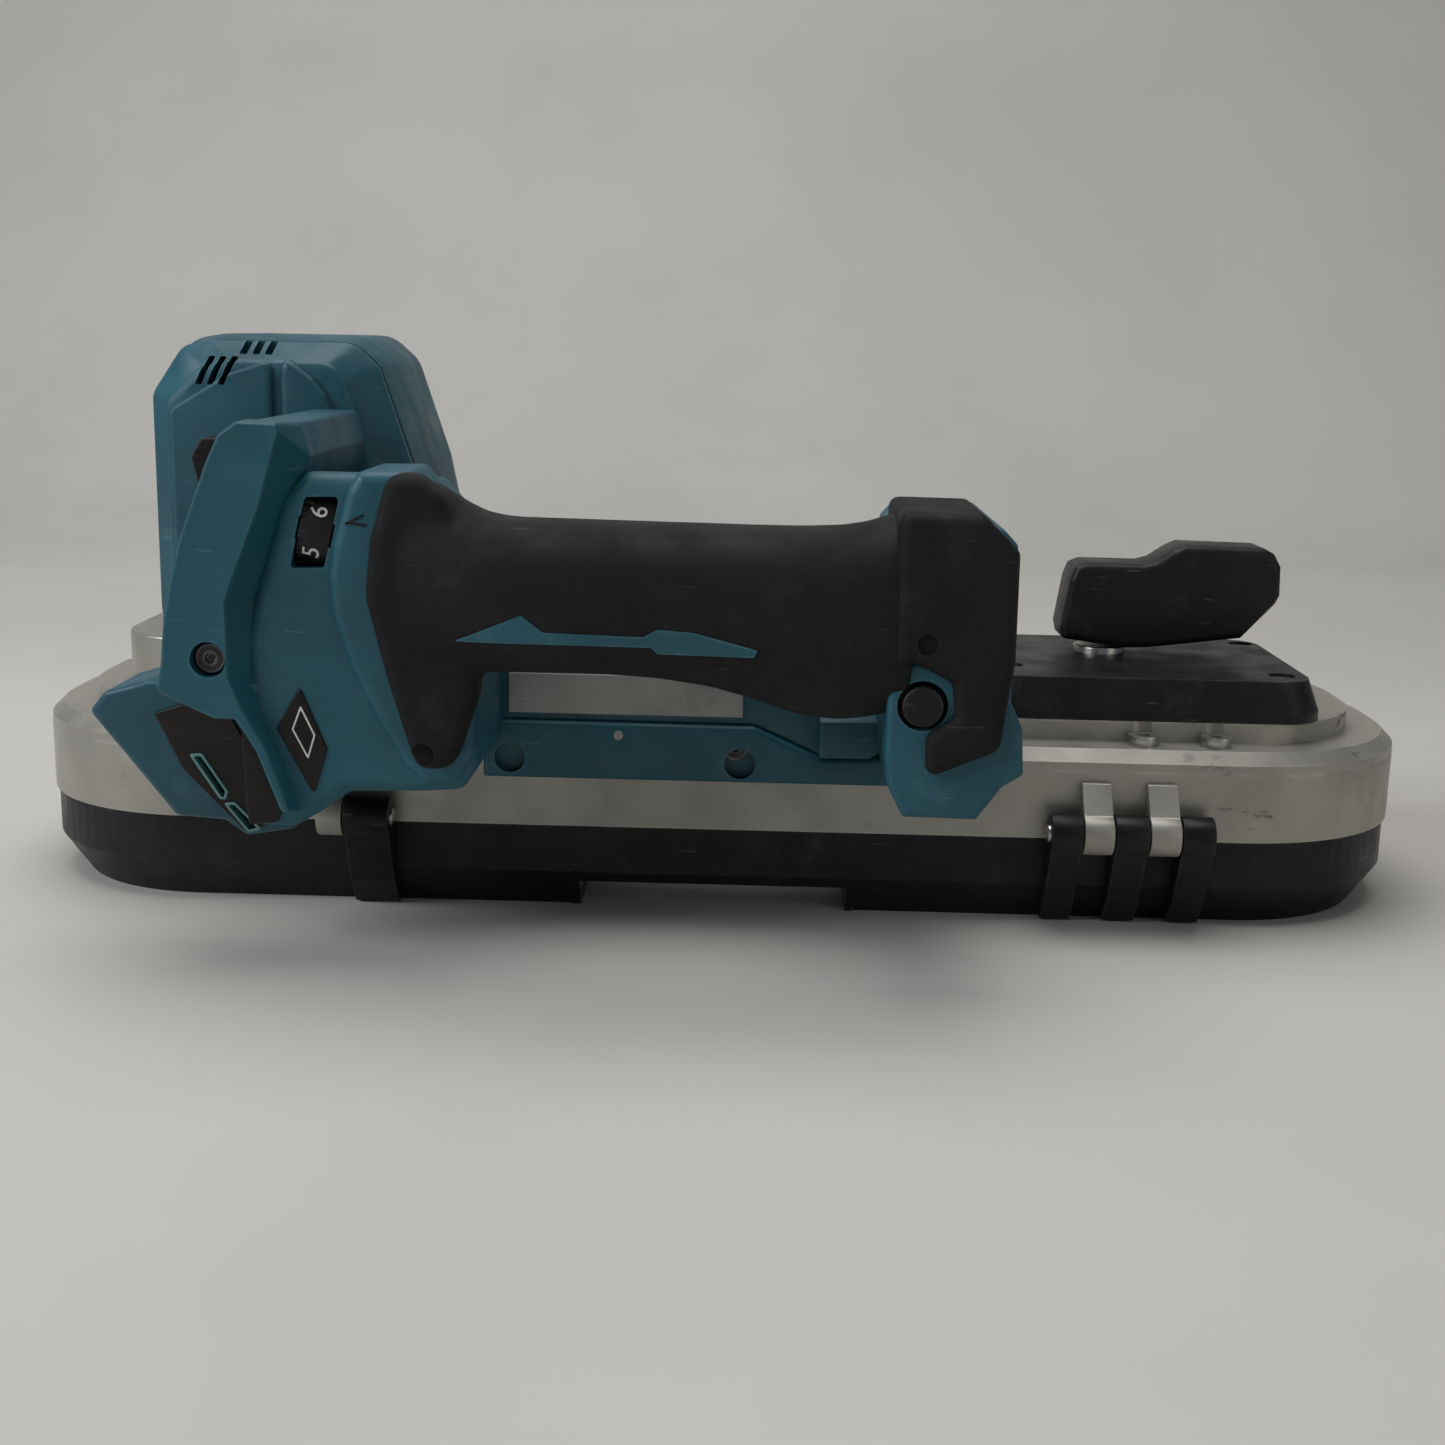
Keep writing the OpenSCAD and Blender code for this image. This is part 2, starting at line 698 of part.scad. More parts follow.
// Rubber on the near side and the nose of the front post.
module front_pad() {
    color("#232325") difference() {
        along_y(-half_depth, -60) polygon([[post_x0 + 0.2, 66], [post_x0 + 6, 64], [68, 64], [post_x1, 70], [post_x1, 116],
            [72, 124.6], [post_x0 + 5, 124.6], [post_x0 + 0.2, 121.5]]);
        along_y(post_near + 2.49, -59) polygon([[post_x0 - 1, 40], [73.5, 40], [73.5, 120], [70, 122.5],
            [post_x0 + 4, 122.5], [post_x0 + 2, 120], [post_x0 - 1, 120]]);
        grip_core(0);
        translate([lock_x, -110, lock_z]) rotate([-90, 0, 0]) cylinder(r = 6.4, h = 20);
        translate([61.6, -110, 92.6]) rotate([-90, 0, 0]) cylinder(r = 4.4, h = 12);
    }
}

module name_plate() {
    color("darkgray") box_at([-57, base_near - 0.2, base_split_z + 0.5], [8, base_near + 1.2, 73.7]);
}

module work_lamp() {
    color("white") along_x(rear_x1 - 3.2, rear_x1 + 0.4)
        round_box(lamp_y0 + 0.2, lamp_z0 + 0.2, lamp_y0 + lamp_w - 0.2, lamp_z0 + lamp_h - 0.2, 2);
}

// --- tension gear ---
module tension_cover() {
    c = cover_plate;
    color("#1c1c1e") difference() {
        hull() {
            up(plateau_z + 0.02, plateau_z + 3) round_box(c[0] - 1, c[1] - 1.5, c[2] + 1, c[3] + 1, 12);
            up(tension_top - 0.4, tension_top) round_box(c[0] + 1.5, c[1] + 2.5, c[2] - 2, c[3] - 2, 10);
        }
        up(plateau_z - 1, 64) round_box(chamber[0] + 4, chamber[1] + 8, chamber[2] - 8, chamber[3] - 4, 6);
        disc(cam_xy, 8 + fit, 50, 80);
        for (s = tension_screw_spots()) {
            disc(s, 2.2, 50, 80);
            disc(s, 4, 67, 80);
        }
    }
}

module cam_shaft() {
    color("gray") {
        disc(cam_xy, 8, 51, 72);
        disc([cam_xy[0] + cam_throw, cam_xy[1]], 4, 43, 51.01);
    }
}

module tension_lever() {
    color("#1c1c1e") difference() {
        union() {
            disc(cam_xy, 13, 72.02, 78);
            along_y(cam_xy[1] - 9.5, cam_xy[1] + 9.5) polygon([[104, 77.9], [107, 97], [111, 99.6], [131, 100],
                [139, 105], [166, 105], [170.5, 101], [172, 90], [160.5, 77.9]]);
        }
        disc(cam_xy, 3, 70, 86);
        for (y = [cam_xy[1] - 10, cam_xy[1] + 7]) along_y(y, y + 3) polygon([[141, 84], [141, 97], [164, 99],
            [165, 92], [158, 84]]);
    }
    color("gray") disc(cam_xy, 2.95, 72.02, 85.9);
}

module slide_block() {
    color("gray") difference() {
        up(41, 50) round_box(104, wheel_y - 21, 148, wheel_y + 21, 4);
        disc([wheel_x, wheel_y], 6, 40, 51);
        up(43, 51) round_box(cam_xy[0] + cam_throw - 5, cam_xy[1] - 8.5, cam_xy[0] + cam_throw + 5,
            cam_xy[1] + 8.5, 4.9);
    }
}

module slide_rails() {
    color("silver") for (s = [-1, 1]) difference() {
        box_at([94, wheel_y + s * 25.3 - 4, web_z + web_t], [166, wheel_y + s * 25.3 + 4, 50]);
        for (p = rail_screw_spots()) disc(p, 2, 30, 60);
    }
}

// --- controls ---
module trigger() {
    color("#1a1a1a") along_y(grip_y + 10, grip_y + 27) round_box(14, grip_z - 8, 42, grip_z + 8, 5);
}

module trigger_switch() {
    color("#2b2b2b") box_at([8, grip_y - 9, grip_z - 9], [46, grip_y + 3, grip_z + 9]);
}

module lock_off_button() {
    color("#1a1a1a") translate([lock_x, post_near - 0.5, lock_z]) rotate([-90, 0, 0]) {
        cylinder(r = 5, h = 9);
        translate([0, 0, 6]) cylinder(r = 6, h = 3);
    }
}

// Puts its children at the dial's centre, with X along the dial's slanted axis.
module at_dial() { translate([dial_x, dial_y, dial_z]) rotate([0, dial_tilt, 0]) children(); }

module speed_dial() {
    color("#111111") at_dial() rotate([0, 90, 0]) difference() {
        translate([0, 0, -4]) cylinder(r = dial_r, h = 8);
        translate([0, 0, -5]) cylinder(r = 2.5, h = 10);
        for (a = [0:15:345]) translate([(dial_r + 0.5) * cos(a), (dial_r + 0.5) * sin(a), -5])
            cylinder(r = 0.8, h = 3, $fn = 24);
    }
}

module controller() {
    color("#303438") along_y(-82, housing_back - 4) polygon([[-104, 52], [-72, 56], [-72, 80], [-104, 80]]);
}

// --- blade and its guides ---
near_run_y = wheel_y - wheel_r - 0.3;
far_run_y = wheel_y + wheel_r + 0.3;
twist_from = 112;
twist_to = 60;
twist_steps = 5;

// A straight piece of the far run from x0 to x1, turned by a about the run's middle line.
module far_piece(x0, x1, a) {
    translate([x0, far_run_y + blade_t / 2, blade_z]) rotate([a, 0, 0])
        translate([0, -blade_t / 2, -blade_w / 2]) cube([x1 - x0, blade_t, blade_w]);
}

// The near run is flat on both wheels. The far run is turned 90 degrees between the guides, in steps.
module blade() {
    piece = (twist_from - twist_to) / twist_steps;
    z0 = blade_z - blade_w / 2;
    z1 = blade_z + blade_w / 2;
    color("silver") {
        box_at([-wheel_x, near_run_y - blade_t, z0], [wheel_x, near_run_y, z1]);
        for (s = [-1, 1]) intersection() {
            ring([s * wheel_x, wheel_y], wheel_r + gap, wheel_r + gap + blade_t, z0, z1);
            box_at([s > 0 ? wheel_x : -wheel_x - 60, wheel_y - 60, 0], [s > 0 ? wheel_x + 60 : -wheel_x, wheel_y + 60, 40]);
        }
        far_piece(-twist_to, twist_to, 90);
        for (i = [1:twist_steps]) {
            x = twist_to + (i - 1) * piece;
            far_piece(x - 0.2, x + piece, 90 - i * 15);
            far_piece(-x - piece, -x + 0.2, 90 - i * 15);
        }
        far_piece(twist_from - 0.2, wheel_x, 0);
        far_piece(-wheel_x, -twist_from + 0.2, 0);
    }
}

roller_x = 56;
back_roller_x = 47;
roller_r = 5;
roller_len = 9;
roller_pin_r = 2;

cross_roller_z = [for (side = [-1, 1]) blade_z + side * (blade_t / 2 + 0.35 + roller_r)];
back_roller_y = far_run_y + blade_t / 2 - blade_w / 2 - 0.35 - roller_r;

module cross_roller(x, z) {
    color("gainsboro") translate([x, far_run_y - roller_len / 2, z]) rotate([-90, 0, 0]) difference() {
        cylinder(r = roller_r, h = roller_len);
        translate([0, 0, -1]) cylinder(r = roller_pin_r + fit, h = roller_len + 2);
    }
}

module back_roller(x) {
    color("gainsboro") ring([x, back_roller_y], roller_pin_r + fit, roller_r, blade_z - 4.5, blade_z + 4.5);
}

// A plate that hangs from the frame's web and carries two cross rollers and a back roller.
module guide_block(s) {
    y0 = wheel_y + 22;
    y1 = y0 + 6;
    color("#8d9094") scale([s, 1, 1]) {
        box_at([throat_half + 4.3, y0, 5], [64, y1, web_z]);
        for (z = cross_roller_z) translate([roller_x, y1 - 1, z]) rotate([-90, 0, 0])
            cylinder(r = roller_pin_r, h = far_run_y + roller_len / 2 + 1 - y1);
        disc([back_roller_x, back_roller_y], roller_pin_r, blade_z - 8, blade_z + 8);
        for (z = [blade_z - 8, blade_z + 5.5])
            box_at([throat_half + 4.3, y1 - 1, z], [back_roller_x + 2.4, back_roller_y + 4, z + 2.5]);
    }
}

module guide_blocks() { for (s = [-1, 1]) guide_block(s); }

module stopper_plate() {
    color("#2a2a2c") difference() {
        union() {
            box_at([-throat_half - 24, frame_far + 0.02, 28], [-throat_half + 2, half_depth, 44]);
            box_at([-throat_half + 2, 40, 30], [-throat_half + 5, half_depth, 44]);
        }
        for (x = stopper_screw_x) translate([x, frame_far - 1, 36]) rotate([-90, 0, 0]) {
            cylinder(r = 2.2, h = 6);
            translate([0, 0, half_depth - frame_far - 0.1]) cylinder(r = 3.4, h = 3);
        }
    }
}

// --- fasteners ---
stopper_screw_x = [-57, -46];
function frame_screw_spots() = [[124, frame_near + 10.5], [145, frame_near + 10.5]];
function tension_screw_spots() = [[88, 13], [169.5, 63], [167.5, 5], [88, 65]];
function rail_screw_spots() = [for (x = [100, 160], s = [-1, 1]) [x, wheel_y + s * 25.3]];
// Each housing screw is [x, y of its seat, z].
function housing_screw_spots() = [[-125, body_near + 5, 84.5], [-60, base_near + 1.2, 56.5],
    [6, base_near + 1.2, 54.5], [61.6, post_near + 3.4, 92.6]];

module screw_seat(s) {
    translate([s[0], s[1] - 30, s[2]]) rotate([-90, 0, 0]) cylinder(r = 4.4, h = 30);
    translate([s[0], s[1] - 1, s[2]]) rotate([-90, 0, 0]) cylinder(r = 2, h = 14);
}

module screw(r_shank, r_head, shank, head) {
    rotate([-90, 0, 0]) difference() {
        union() {
            translate([0, 0, -0.5]) cylinder(r = r_shank, h = shank + 0.5);
            translate([0, 0, -head - 0.02]) cylinder(r = r_head, h = head);
        }
        translate([0, 0, -head - 1]) cylinder(r = r_shank * 0.8, h = head * 0.6 + 1, $fn = 6);
    }
}

module housing_screws() {
    color("dimgray") for (s = housing_screw_spots()) translate([s[0], s[1], s[2]]) screw(1.9, 3.8, 5, 2.4);
}

module frame_screws() {
    color("silver") {
        for (s = frame_screw_spots()) translate([s[0], s[1], shoulder_z2 + 0.02]) rotate([-90, 0, 0])
            screw(2.45, 4.4, 5, 3);
        for (x = stopper_screw_x) translate([x, half_depth - 1.05, 36]) rotate([180, 0, 0])
            screw(1.95, 3.2, 9, 0.9);
    }
}

module tension_cover_screws() {
    color("dimgray") for (s = tension_screw_spots()) translate([s[0], s[1], 67.1]) rotate([-90, 0, 0])
        screw(1.95, 3.7, 16, 2);
}

main_frame();
wheel_cover();
hinge_lugs();
hinge_arms();
hinge_pins();
cover_clips();
gear_case();
motor_housing_near();
motor_housing_far();
housing_upper();
housing_main();
housing_base();
rear_wing();
battery_rails();
terminal_block();
battery_terminals();
grip_rubber();
front_pad();
grip_inlay();
name_plate();
vent_panel();
lamp_panel();
work_lamp();
tension_cover();
tension_lever();
cam_shaft();
slide_block();
slide_rails();
idler_axle();
idler_wheel();
idler_tyre();
idler_bearings();
drive_wheel();
drive_tyre();
drive_spindle();
spindle_bearings();
output_gear();
intermediate_gear();
intermediate_bearings();
motor_stator();
motor_rotor();
cooling_fan();
motor_bearings();
controller();
trigger_switch();
trigger();
lock_off_button();
speed_dial();
blade();
guide_blocks();
cross_roller(-roller_x, cross_roller_z[0]);  // guide_roller_1
cross_roller(-roller_x, cross_roller_z[1]);  // guide_roller_2
back_roller(-back_roller_x);  // guide_roller_3
cross_roller(roller_x, cross_roller_z[0]);  // guide_roller_4
cross_roller(roller_x, cross_roller_z[1]);  // guide_roller_5
back_roller(back_roller_x);  // guide_roller_6
stopper_plate();
housing_screws();
frame_screws();
tension_cover_screws();
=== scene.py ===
"""The looks of a compact cordless portable band saw that lies on its wheel cover."""

import json
import math

import bmesh
import bpy
from mathutils import Matrix, Vector


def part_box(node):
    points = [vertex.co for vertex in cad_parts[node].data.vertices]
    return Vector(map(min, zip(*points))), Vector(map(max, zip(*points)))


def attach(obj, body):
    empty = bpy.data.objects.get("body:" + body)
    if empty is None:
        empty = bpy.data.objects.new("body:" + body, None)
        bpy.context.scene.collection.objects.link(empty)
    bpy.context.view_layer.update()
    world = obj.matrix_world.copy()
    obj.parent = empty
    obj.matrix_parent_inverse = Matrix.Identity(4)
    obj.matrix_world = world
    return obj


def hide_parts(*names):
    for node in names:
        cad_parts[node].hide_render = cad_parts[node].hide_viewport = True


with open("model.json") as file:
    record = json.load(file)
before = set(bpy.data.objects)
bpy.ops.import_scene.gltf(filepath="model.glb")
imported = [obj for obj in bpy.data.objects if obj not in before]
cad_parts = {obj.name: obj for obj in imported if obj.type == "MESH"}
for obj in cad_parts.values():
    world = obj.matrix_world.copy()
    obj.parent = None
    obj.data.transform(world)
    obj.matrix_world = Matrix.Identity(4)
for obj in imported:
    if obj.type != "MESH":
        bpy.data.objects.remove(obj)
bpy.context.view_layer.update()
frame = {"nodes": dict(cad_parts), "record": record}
NODES = frame["nodes"]
MM = 0.001


# --- materials ---
class Graph:
    """A small helper that adds and links nodes of one material."""

    def __init__(self, name):
        self.material = bpy.data.materials.new(name)
        self.material.use_nodes = True
        self.tree = self.material.node_tree
        self.shader = self.tree.nodes["Principled BSDF"]
        self.place = self.add("ShaderNodeTexCoord").outputs["Object"]

    def add(self, kind, **settings):
        node = self.tree.nodes.new(kind)
        for key, value in settings.items():
            setattr(node, key, value)
        return node

    def link(self, source, target):
        self.tree.links.new(source, target)

    def noise(self, scale, detail=3.0, stretch=(1, 1, 1), roughness=0.55):
        mapping = self.add("ShaderNodeMapping")
        mapping.inputs["Scale"].default_value = stretch
        self.link(self.place, mapping.inputs["Vector"])
        node = self.add("ShaderNodeTexNoise")
        node.inputs["Scale"].default_value = scale
        node.inputs["Detail"].default_value = detail
        node.inputs["Roughness"].default_value = roughness
        self.link(mapping.outputs["Vector"], node.inputs["Vector"])
        return node.outputs["Fac"]

    def cells(self, scale):
        node = self.add("ShaderNodeTexVoronoi")
        node.inputs["Scale"].default_value = scale
        self.link(self.place, node.inputs["Vector"])
        return node.outputs["Distance"]

    def ramp(self, value, low, high, out_low=0.0, out_high=1.0):
        node = self.add("ShaderNodeMapRange", interpolation_type="SMOOTHSTEP")
        node.inputs["From Min"].default_value = low
        node.inputs["From Max"].default_value = high
        node.inputs["To Min"].default_value = out_low
        node.inputs["To Max"].default_value = out_high
        self.link(value, node.inputs["Value"])
        return node.outputs["Result"]

    def math(self, operation, a, b):
        node = self.add("ShaderNodeMath", operation=operation)
        for socket, value in zip(node.inputs, (a, b)):
            if isinstance(value, (int, float)):
                socket.default_value = value
            else:
                self.link(value, socket)
        return node.outputs["Value"]

    def blend(self, amount, a, b):
        node = self.add("ShaderNodeMix", data_type="RGBA")
        sockets = {s.identifier: s for s in node.inputs}
        self.link(amount, sockets["Factor_Float"])
        for name, value in (("A_Color", a), ("B_Color", b)):
            if isinstance(value, (tuple, list)):
                sockets[name].default_value = (*value, 1.0)
            else:
                self.link(value, sockets[name])
        return [s for s in node.outputs if s.identifier == "Result_Color"][0]

    def edges(self, radius):
        """1 along convex and concave edges, 0 on flat faces."""
        bevel = self.add("ShaderNodeBevel", samples=4)
        bevel.inputs["Radius"].default_value = radius
        geometry = self.add("ShaderNodeNewGeometry")
        dot = self.add("ShaderNodeVectorMath", operation="DOT_PRODUCT")
        self.link(bevel.outputs["Normal"], dot.inputs[0])
        self.link(geometry.outputs["Normal"], dot.inputs[1])
        return self.ramp(dot.outputs["Value"], 0.985, 0.86)

    def bump(self, *layers):
        """Stacks bumps; each layer is (height, strength, distance in metres)."""
        last = None
        for height, strength, distance in layers:
            node = self.add("ShaderNodeBump")
            node.inputs["Strength"].default_value = strength
            node.inputs["Distance"].default_value = distance
            self.link(height, node.inputs["Height"])
            if last:
                self.link(last, node.inputs["Normal"])
            last = node.outputs["Normal"]
        self.link(last, self.shader.inputs["Normal"])

    def finish(self, color, roughness, metallic=0.0, **constants):
        self.link(color, self.shader.inputs["Base Color"])
        self.link(roughness, self.shader.inputs["Roughness"])
        self.shader.inputs["Metallic"].default_value = metallic
        for key, value in constants.items():
            self.shader.inputs[key.replace("_", " ")].default_value = value
        return self.material


def scale_color(color, factor):
    return tuple(min(1.0, c * factor) for c in color)


def plastic(name, color, rough, worn, grain=1900, dust=0.25, specular=0.45, edge_wear=0.6, bump=0.22):
    """Moulded plastic or rubber: fine grain, cloudy colour, pale dust, rubbed edges and short scratches."""
    g = Graph(name)
    cloud = g.ramp(g.noise(26, 4), 0.3, 0.7)
    base = g.blend(cloud, scale_color(color, 0.82), scale_color(color, 1.14))
    patches = g.ramp(g.noise(60, 6, roughness=0.7), 0.52, 0.78, 0.0, dust)
    base = g.blend(patches, base, worn)
    scratch = g.ramp(g.noise(90, 2, (1, 1, 9), 0.4), 0.70, 0.76, 0.0, 0.35)
    base = g.blend(scratch, base, worn)
    rubbed = g.math("MULTIPLY", g.edges(0.0011), g.ramp(g.noise(140, 4), 0.38, 0.66, 0.05, edge_wear))
    base = g.blend(rubbed, base, worn)
    roughness = g.ramp(g.noise(75, 5), 0.3, 0.75, rough - 0.08, rough + 0.12)
    g.bump((g.noise(grain, 2), bump, 0.00016), (g.noise(160, 3), 0.12, 0.0003))
    return g.finish(base, roughness, Specular_IOR_Level=specular)


def metal(name, color, rough, metallic, worn, dirt, stretch=(1, 1, 1), grain=900, edge_wear=0.7, bump=0.2,
          marks=0.0):
    """Cast, rolled or turned metal: casting grain or brush lines, grime in patches, bright rubbed edges."""
    g = Graph(name)
    cloud = g.ramp(g.noise(18, 5), 0.3, 0.7)
    base = g.blend(cloud, scale_color(color, 0.88), scale_color(color, 1.08))
    grime = g.ramp(g.noise(42, 8, roughness=0.72), 0.55, 0.82, 0.0, 0.75)
    base = g.blend(grime, base, dirt)
    if marks:
        scuff = g.ramp(g.noise(55, 7, (1, 1, 2.6), 0.72), 0.61, 0.68, 0.0, marks)
        ends = g.add("ShaderNodeSeparateXYZ")
        g.link(g.place, ends.inputs["Vector"])
        near_end = g.ramp(ends.outputs["X"], 0.10, 0.185)
        base = g.blend(g.math("MULTIPLY", scuff, near_end), base, (0.03, 0.028, 0.026))
    rubbed = g.math("MULTIPLY", g.edges(0.0012), g.ramp(g.noise(120, 4), 0.4, 0.62, 0.1, edge_wear))
    base = g.blend(rubbed, base, worn)
    roughness = g.ramp(g.noise(60, 5), 0.3, 0.75, rough - 0.1, rough + 0.14)
    g.bump((g.noise(grain, 3, stretch), bump, 0.00014), (g.noise(130, 4), 0.1, 0.0004))
    return g.finish(base, roughness, metallic)


def lens(name):
    g = Graph(name)
    tint = g.blend(g.ramp(g.noise(300, 2), 0.3, 0.7), (0.86, 0.88, 0.9), (0.95, 0.96, 0.98))
    g.bump((g.cells(700), 0.3, 0.0002))
    return g.finish(tint, g.ramp(g.noise(200, 3), 0.3, 0.7, 0.08, 0.2), Transmission_Weight=0.6)


TEAL = (0.008, 0.079, 0.112)
PALE_TEAL = (0.085, 0.2, 0.215)
BLACK = (0.008, 0.008, 0.009)
GREY = (0.11, 0.11, 0.112)
MATERIALS = {
    "teal_plastic": plastic("teal_plastic", TEAL, 0.5, PALE_TEAL, dust=0.3),
    "black_plastic": plastic("black_plastic", BLACK, 0.42, GREY, dust=0.15, specular=0.25),
    "grip_rubber": plastic("grip_rubber", (0.009, 0.009, 0.010), 0.68, (0.065, 0.063, 0.065), grain=1300,
                           dust=0.18, specular=0.2, bump=0.4, edge_wear=0.35),
    "tyre_rubber": plastic("tyre_rubber", (0.016, 0.016, 0.016), 0.6, (0.1, 0.1, 0.1), grain=1500),
    "dark_panel": plastic("dark_panel", (0.008, 0.0065, 0.006), 0.38, (0.06, 0.052, 0.05), grain=2200,
                          specular=0.25),
    "controller_black": plastic("controller_black", (0.02, 0.022, 0.025), 0.35, GREY),
    "plate_grey": plastic("plate_grey", (0.30, 0.295, 0.28), 0.38, (0.16, 0.155, 0.15), grain=2600, dust=0.5,
                          bump=0.08),
    "frame_metal": metal("frame_metal", (0.36, 0.345, 0.305), 0.42, 0.55, (0.55, 0.54, 0.5), (0.15, 0.135, 0.11),
                         marks=0.9),
    "steel": metal("steel", (0.5, 0.49, 0.47), 0.33, 1.0, (0.75, 0.75, 0.74), (0.2, 0.17, 0.14), (1, 1, 7)),
    "blade_steel": metal("blade_steel", (0.3, 0.3, 0.31), 0.36, 1.0, (0.7, 0.7, 0.7), (0.16, 0.12, 0.09),
                         (0.2, 0.2, 6)),
    "black_steel": metal("black_steel", (0.022, 0.022, 0.024), 0.4, 0.3, (0.4, 0.4, 0.4), (0.05, 0.045, 0.04)),
    "copper_winding": metal("copper_winding", (0.42, 0.17, 0.07), 0.35, 0.9, (0.7, 0.4, 0.2), (0.1, 0.05, 0.02),
                            (1, 1, 12)),
    "brass": metal("brass", (0.72, 0.55, 0.26), 0.3, 1.0, (0.85, 0.75, 0.5), (0.25, 0.17, 0.08)),
    "clear_lens": lens("clear_lens"),
    "rim_teal": plastic("rim_teal", (0.10, 0.24, 0.24), 0.5, (0.2, 0.33, 0.33)),
    "marking": plastic("marking", (0.62, 0.61, 0.58), 0.5, (0.4, 0.4, 0.38), bump=0.05),
}

slot_of = {s["node"]: s["material_slot"] for s in frame["record"]["subparts"]}
# Width of the rounded edges of the carried-over nodes, in millimetres.
EDGE_MM = {"main_frame": 2.2, "wheel_cover": 1.4, "motor_housing_near": 2.2, "motor_housing_far": 2.4,
           "housing_main": 2.4, "housing_upper": 2.4, "housing_base": 1.6, "rear_wing": 1.6, "tension_cover": 1.5,
           "tension_lever": 1.3, "front_pad": 2.6, "grip_rubber": 1.0, "battery_rails": 0.6, "gear_case": 2.0}


def round_edges(obj, width_mm, angle=32):
    weld = obj.modifiers.new("weld", "WELD")
    weld.merge_threshold = 0.00002
    flat = obj.modifiers.new("flat", "DECIMATE")
    flat.decimate_type = "DISSOLVE"
    flat.angle_limit = math.radians(0.4)
    bevel = obj.modifiers.new("bevel", "BEVEL")
    bevel.width = width_mm * MM
    bevel.segments = 3
    bevel.limit_method = "ANGLE"
    bevel.angle_limit = math.radians(angle)
    bevel.harden_normals = True
    bevel.miter_outer = "MITER_ARC"


DARK_SCREWS = ("housing_screws", "tension_cover_screws")
for name, node in NODES.items():
    node.data.materials.clear()
    node.data.materials.append(MATERIALS["black_steel" if name in DARK_SCREWS else slot_of[name]])
    round_edges(node, EDGE_MM.get(name, 0.35))


# --- shapes ---
def inset_polygon(points, inset):
    """The polygon moved inwards by inset on every side, corner by corner."""
    count = len(points)
    area = sum(points[i][0] * points[(i + 1) % count][1] - points[(i + 1) % count][0] * points[i][1]
               for i in range(count))
    turn = 1 if area > 0 else -1
    result = []
    for i in range(count):
        before, here, after = (Vector(points[j % count]) for j in (i - 1, i, i + 1))
        a = (here - before).normalized()
        b = (after - here).normalized()
        normal_a = Vector((-a.y, a.x)) * turn
        normal_b = Vector((-b.y, b.x)) * turn
        middle = normal_a + normal_b
        middle /= max(middle.dot(normal_a), 0.35)
        result.append(here + middle * inset)
    return result


def fillet(points, radius, steps=4):
    """Rounds every corner with the same number of points."""
    count = len(points)
    result = []
    for i in range(count):
        before, here, after = (Vector(points[j % count]) for j in (i - 1, i, i + 1))
        to_before, to_after = before - here, after - here
        half = to_before.angle(to_after) / 2
        reach = min(radius / max(math.tan(half), 0.05), 0.45 * to_before.length, 0.45 * to_after.length)
        start = here + to_before.normalized() * reach
        end = here + to_after.normalized() * reach
        for k in range(steps + 1):
            t = k / steps
            result.append(start * (1 - t) ** 2 + here * 2 * t * (1 - t) + end * t * t)
    return result


def place(axis, t, u, v):
    point = {"x": (t, u, v), "y": (u, t, v), "z": (u, v, t)}[axis]
    return Vector(point) * MM


def add_piece(name, mesh, material, body, stands_for=(), sharp=32):
    mesh.materials.clear()
    mesh.materials.append(MATERIALS[material])
    for polygon in mesh.polygons:
        polygon.use_smooth = True
    mesh.set_sharp_from_angle(angle=math.radians(sharp))
    obj = bpy.data.objects.new(name, mesh)
    bpy.context.scene.collection.objects.link(obj)
    if body:
        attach(obj, body)
    if stands_for:
        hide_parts(*stands_for)
    return obj


def skin(rings, closed_ends=True):
    """A mesh through rings of points that all have the same length."""
    bm = bmesh.new()
    rows = [[bm.verts.new(p) for p in ring] for ring in rings]
    count = len(rings[0])
    for low, high in zip(rows, rows[1:]):
        for i in range(count):
            j = (i + 1) % count
            bm.faces.new((low[i], low[j], high[j], high[i]))
    if closed_ends:
        bm.faces.new(rows[0])
        bm.faces.new(rows[-1])
    else:
        for i in range(count):
            j = (i + 1) % count
            bm.faces.new((rows[-1][i], rows[-1][j], rows[0][j], rows[0][i]))
    bmesh.ops.recalc_face_normals(bm, faces=bm.faces)
    mesh = bpy.data.meshes.new("piece")
    bm.to_mesh(mesh)
    bm.free()
    return mesh


def loft(axis, sections, radius, steps=4):
    """sections are (position along the axis, outline, inset), in millimetres."""
    rings = []
    for t, outline, inset in sections:
        corners = fillet(inset_polygon(outline, inset), max(radius - inset, 0.3), steps)
        rings.append([place(axis, t, *p) for p in corners])
    return skin(rings)


def rounded(start, end, r, first=True, last=True, steps=4):
    """Levels for a slab whose first and last edges are rounded with radius r."""
    levels = []
    if first:
        levels += [(start + r * (1 - math.sin(a)), r * (1 - math.cos(a)))
                   for a in [math.pi / 2 * (1 - k / steps) for k in range(steps + 1)]]
    else:
        levels.append((start, 0.0))
    if last:
        levels += [(end - r * (1 - math.sin(a)), r * (1 - math.cos(a)))
                   for a in [math.pi / 2 * k / steps for k in range(steps + 1)]]
    else:
        levels.append((end, 0.0))
    return levels


def slab(axis, outline, start, end, edge, corner, first=True, last=True):
    return loft(axis, [(t, outline, inset) for t, inset in rounded(start, end, edge, first, last)], corner)


def evaluated(obj):
    """The mesh of obj after its modifiers, which are then cleared."""
    bpy.context.view_layer.update()
    mesh = bpy.data.meshes.new_from_object(obj.evaluated_get(bpy.context.evaluated_depsgraph_get()))
    obj.modifiers.clear()
    return mesh


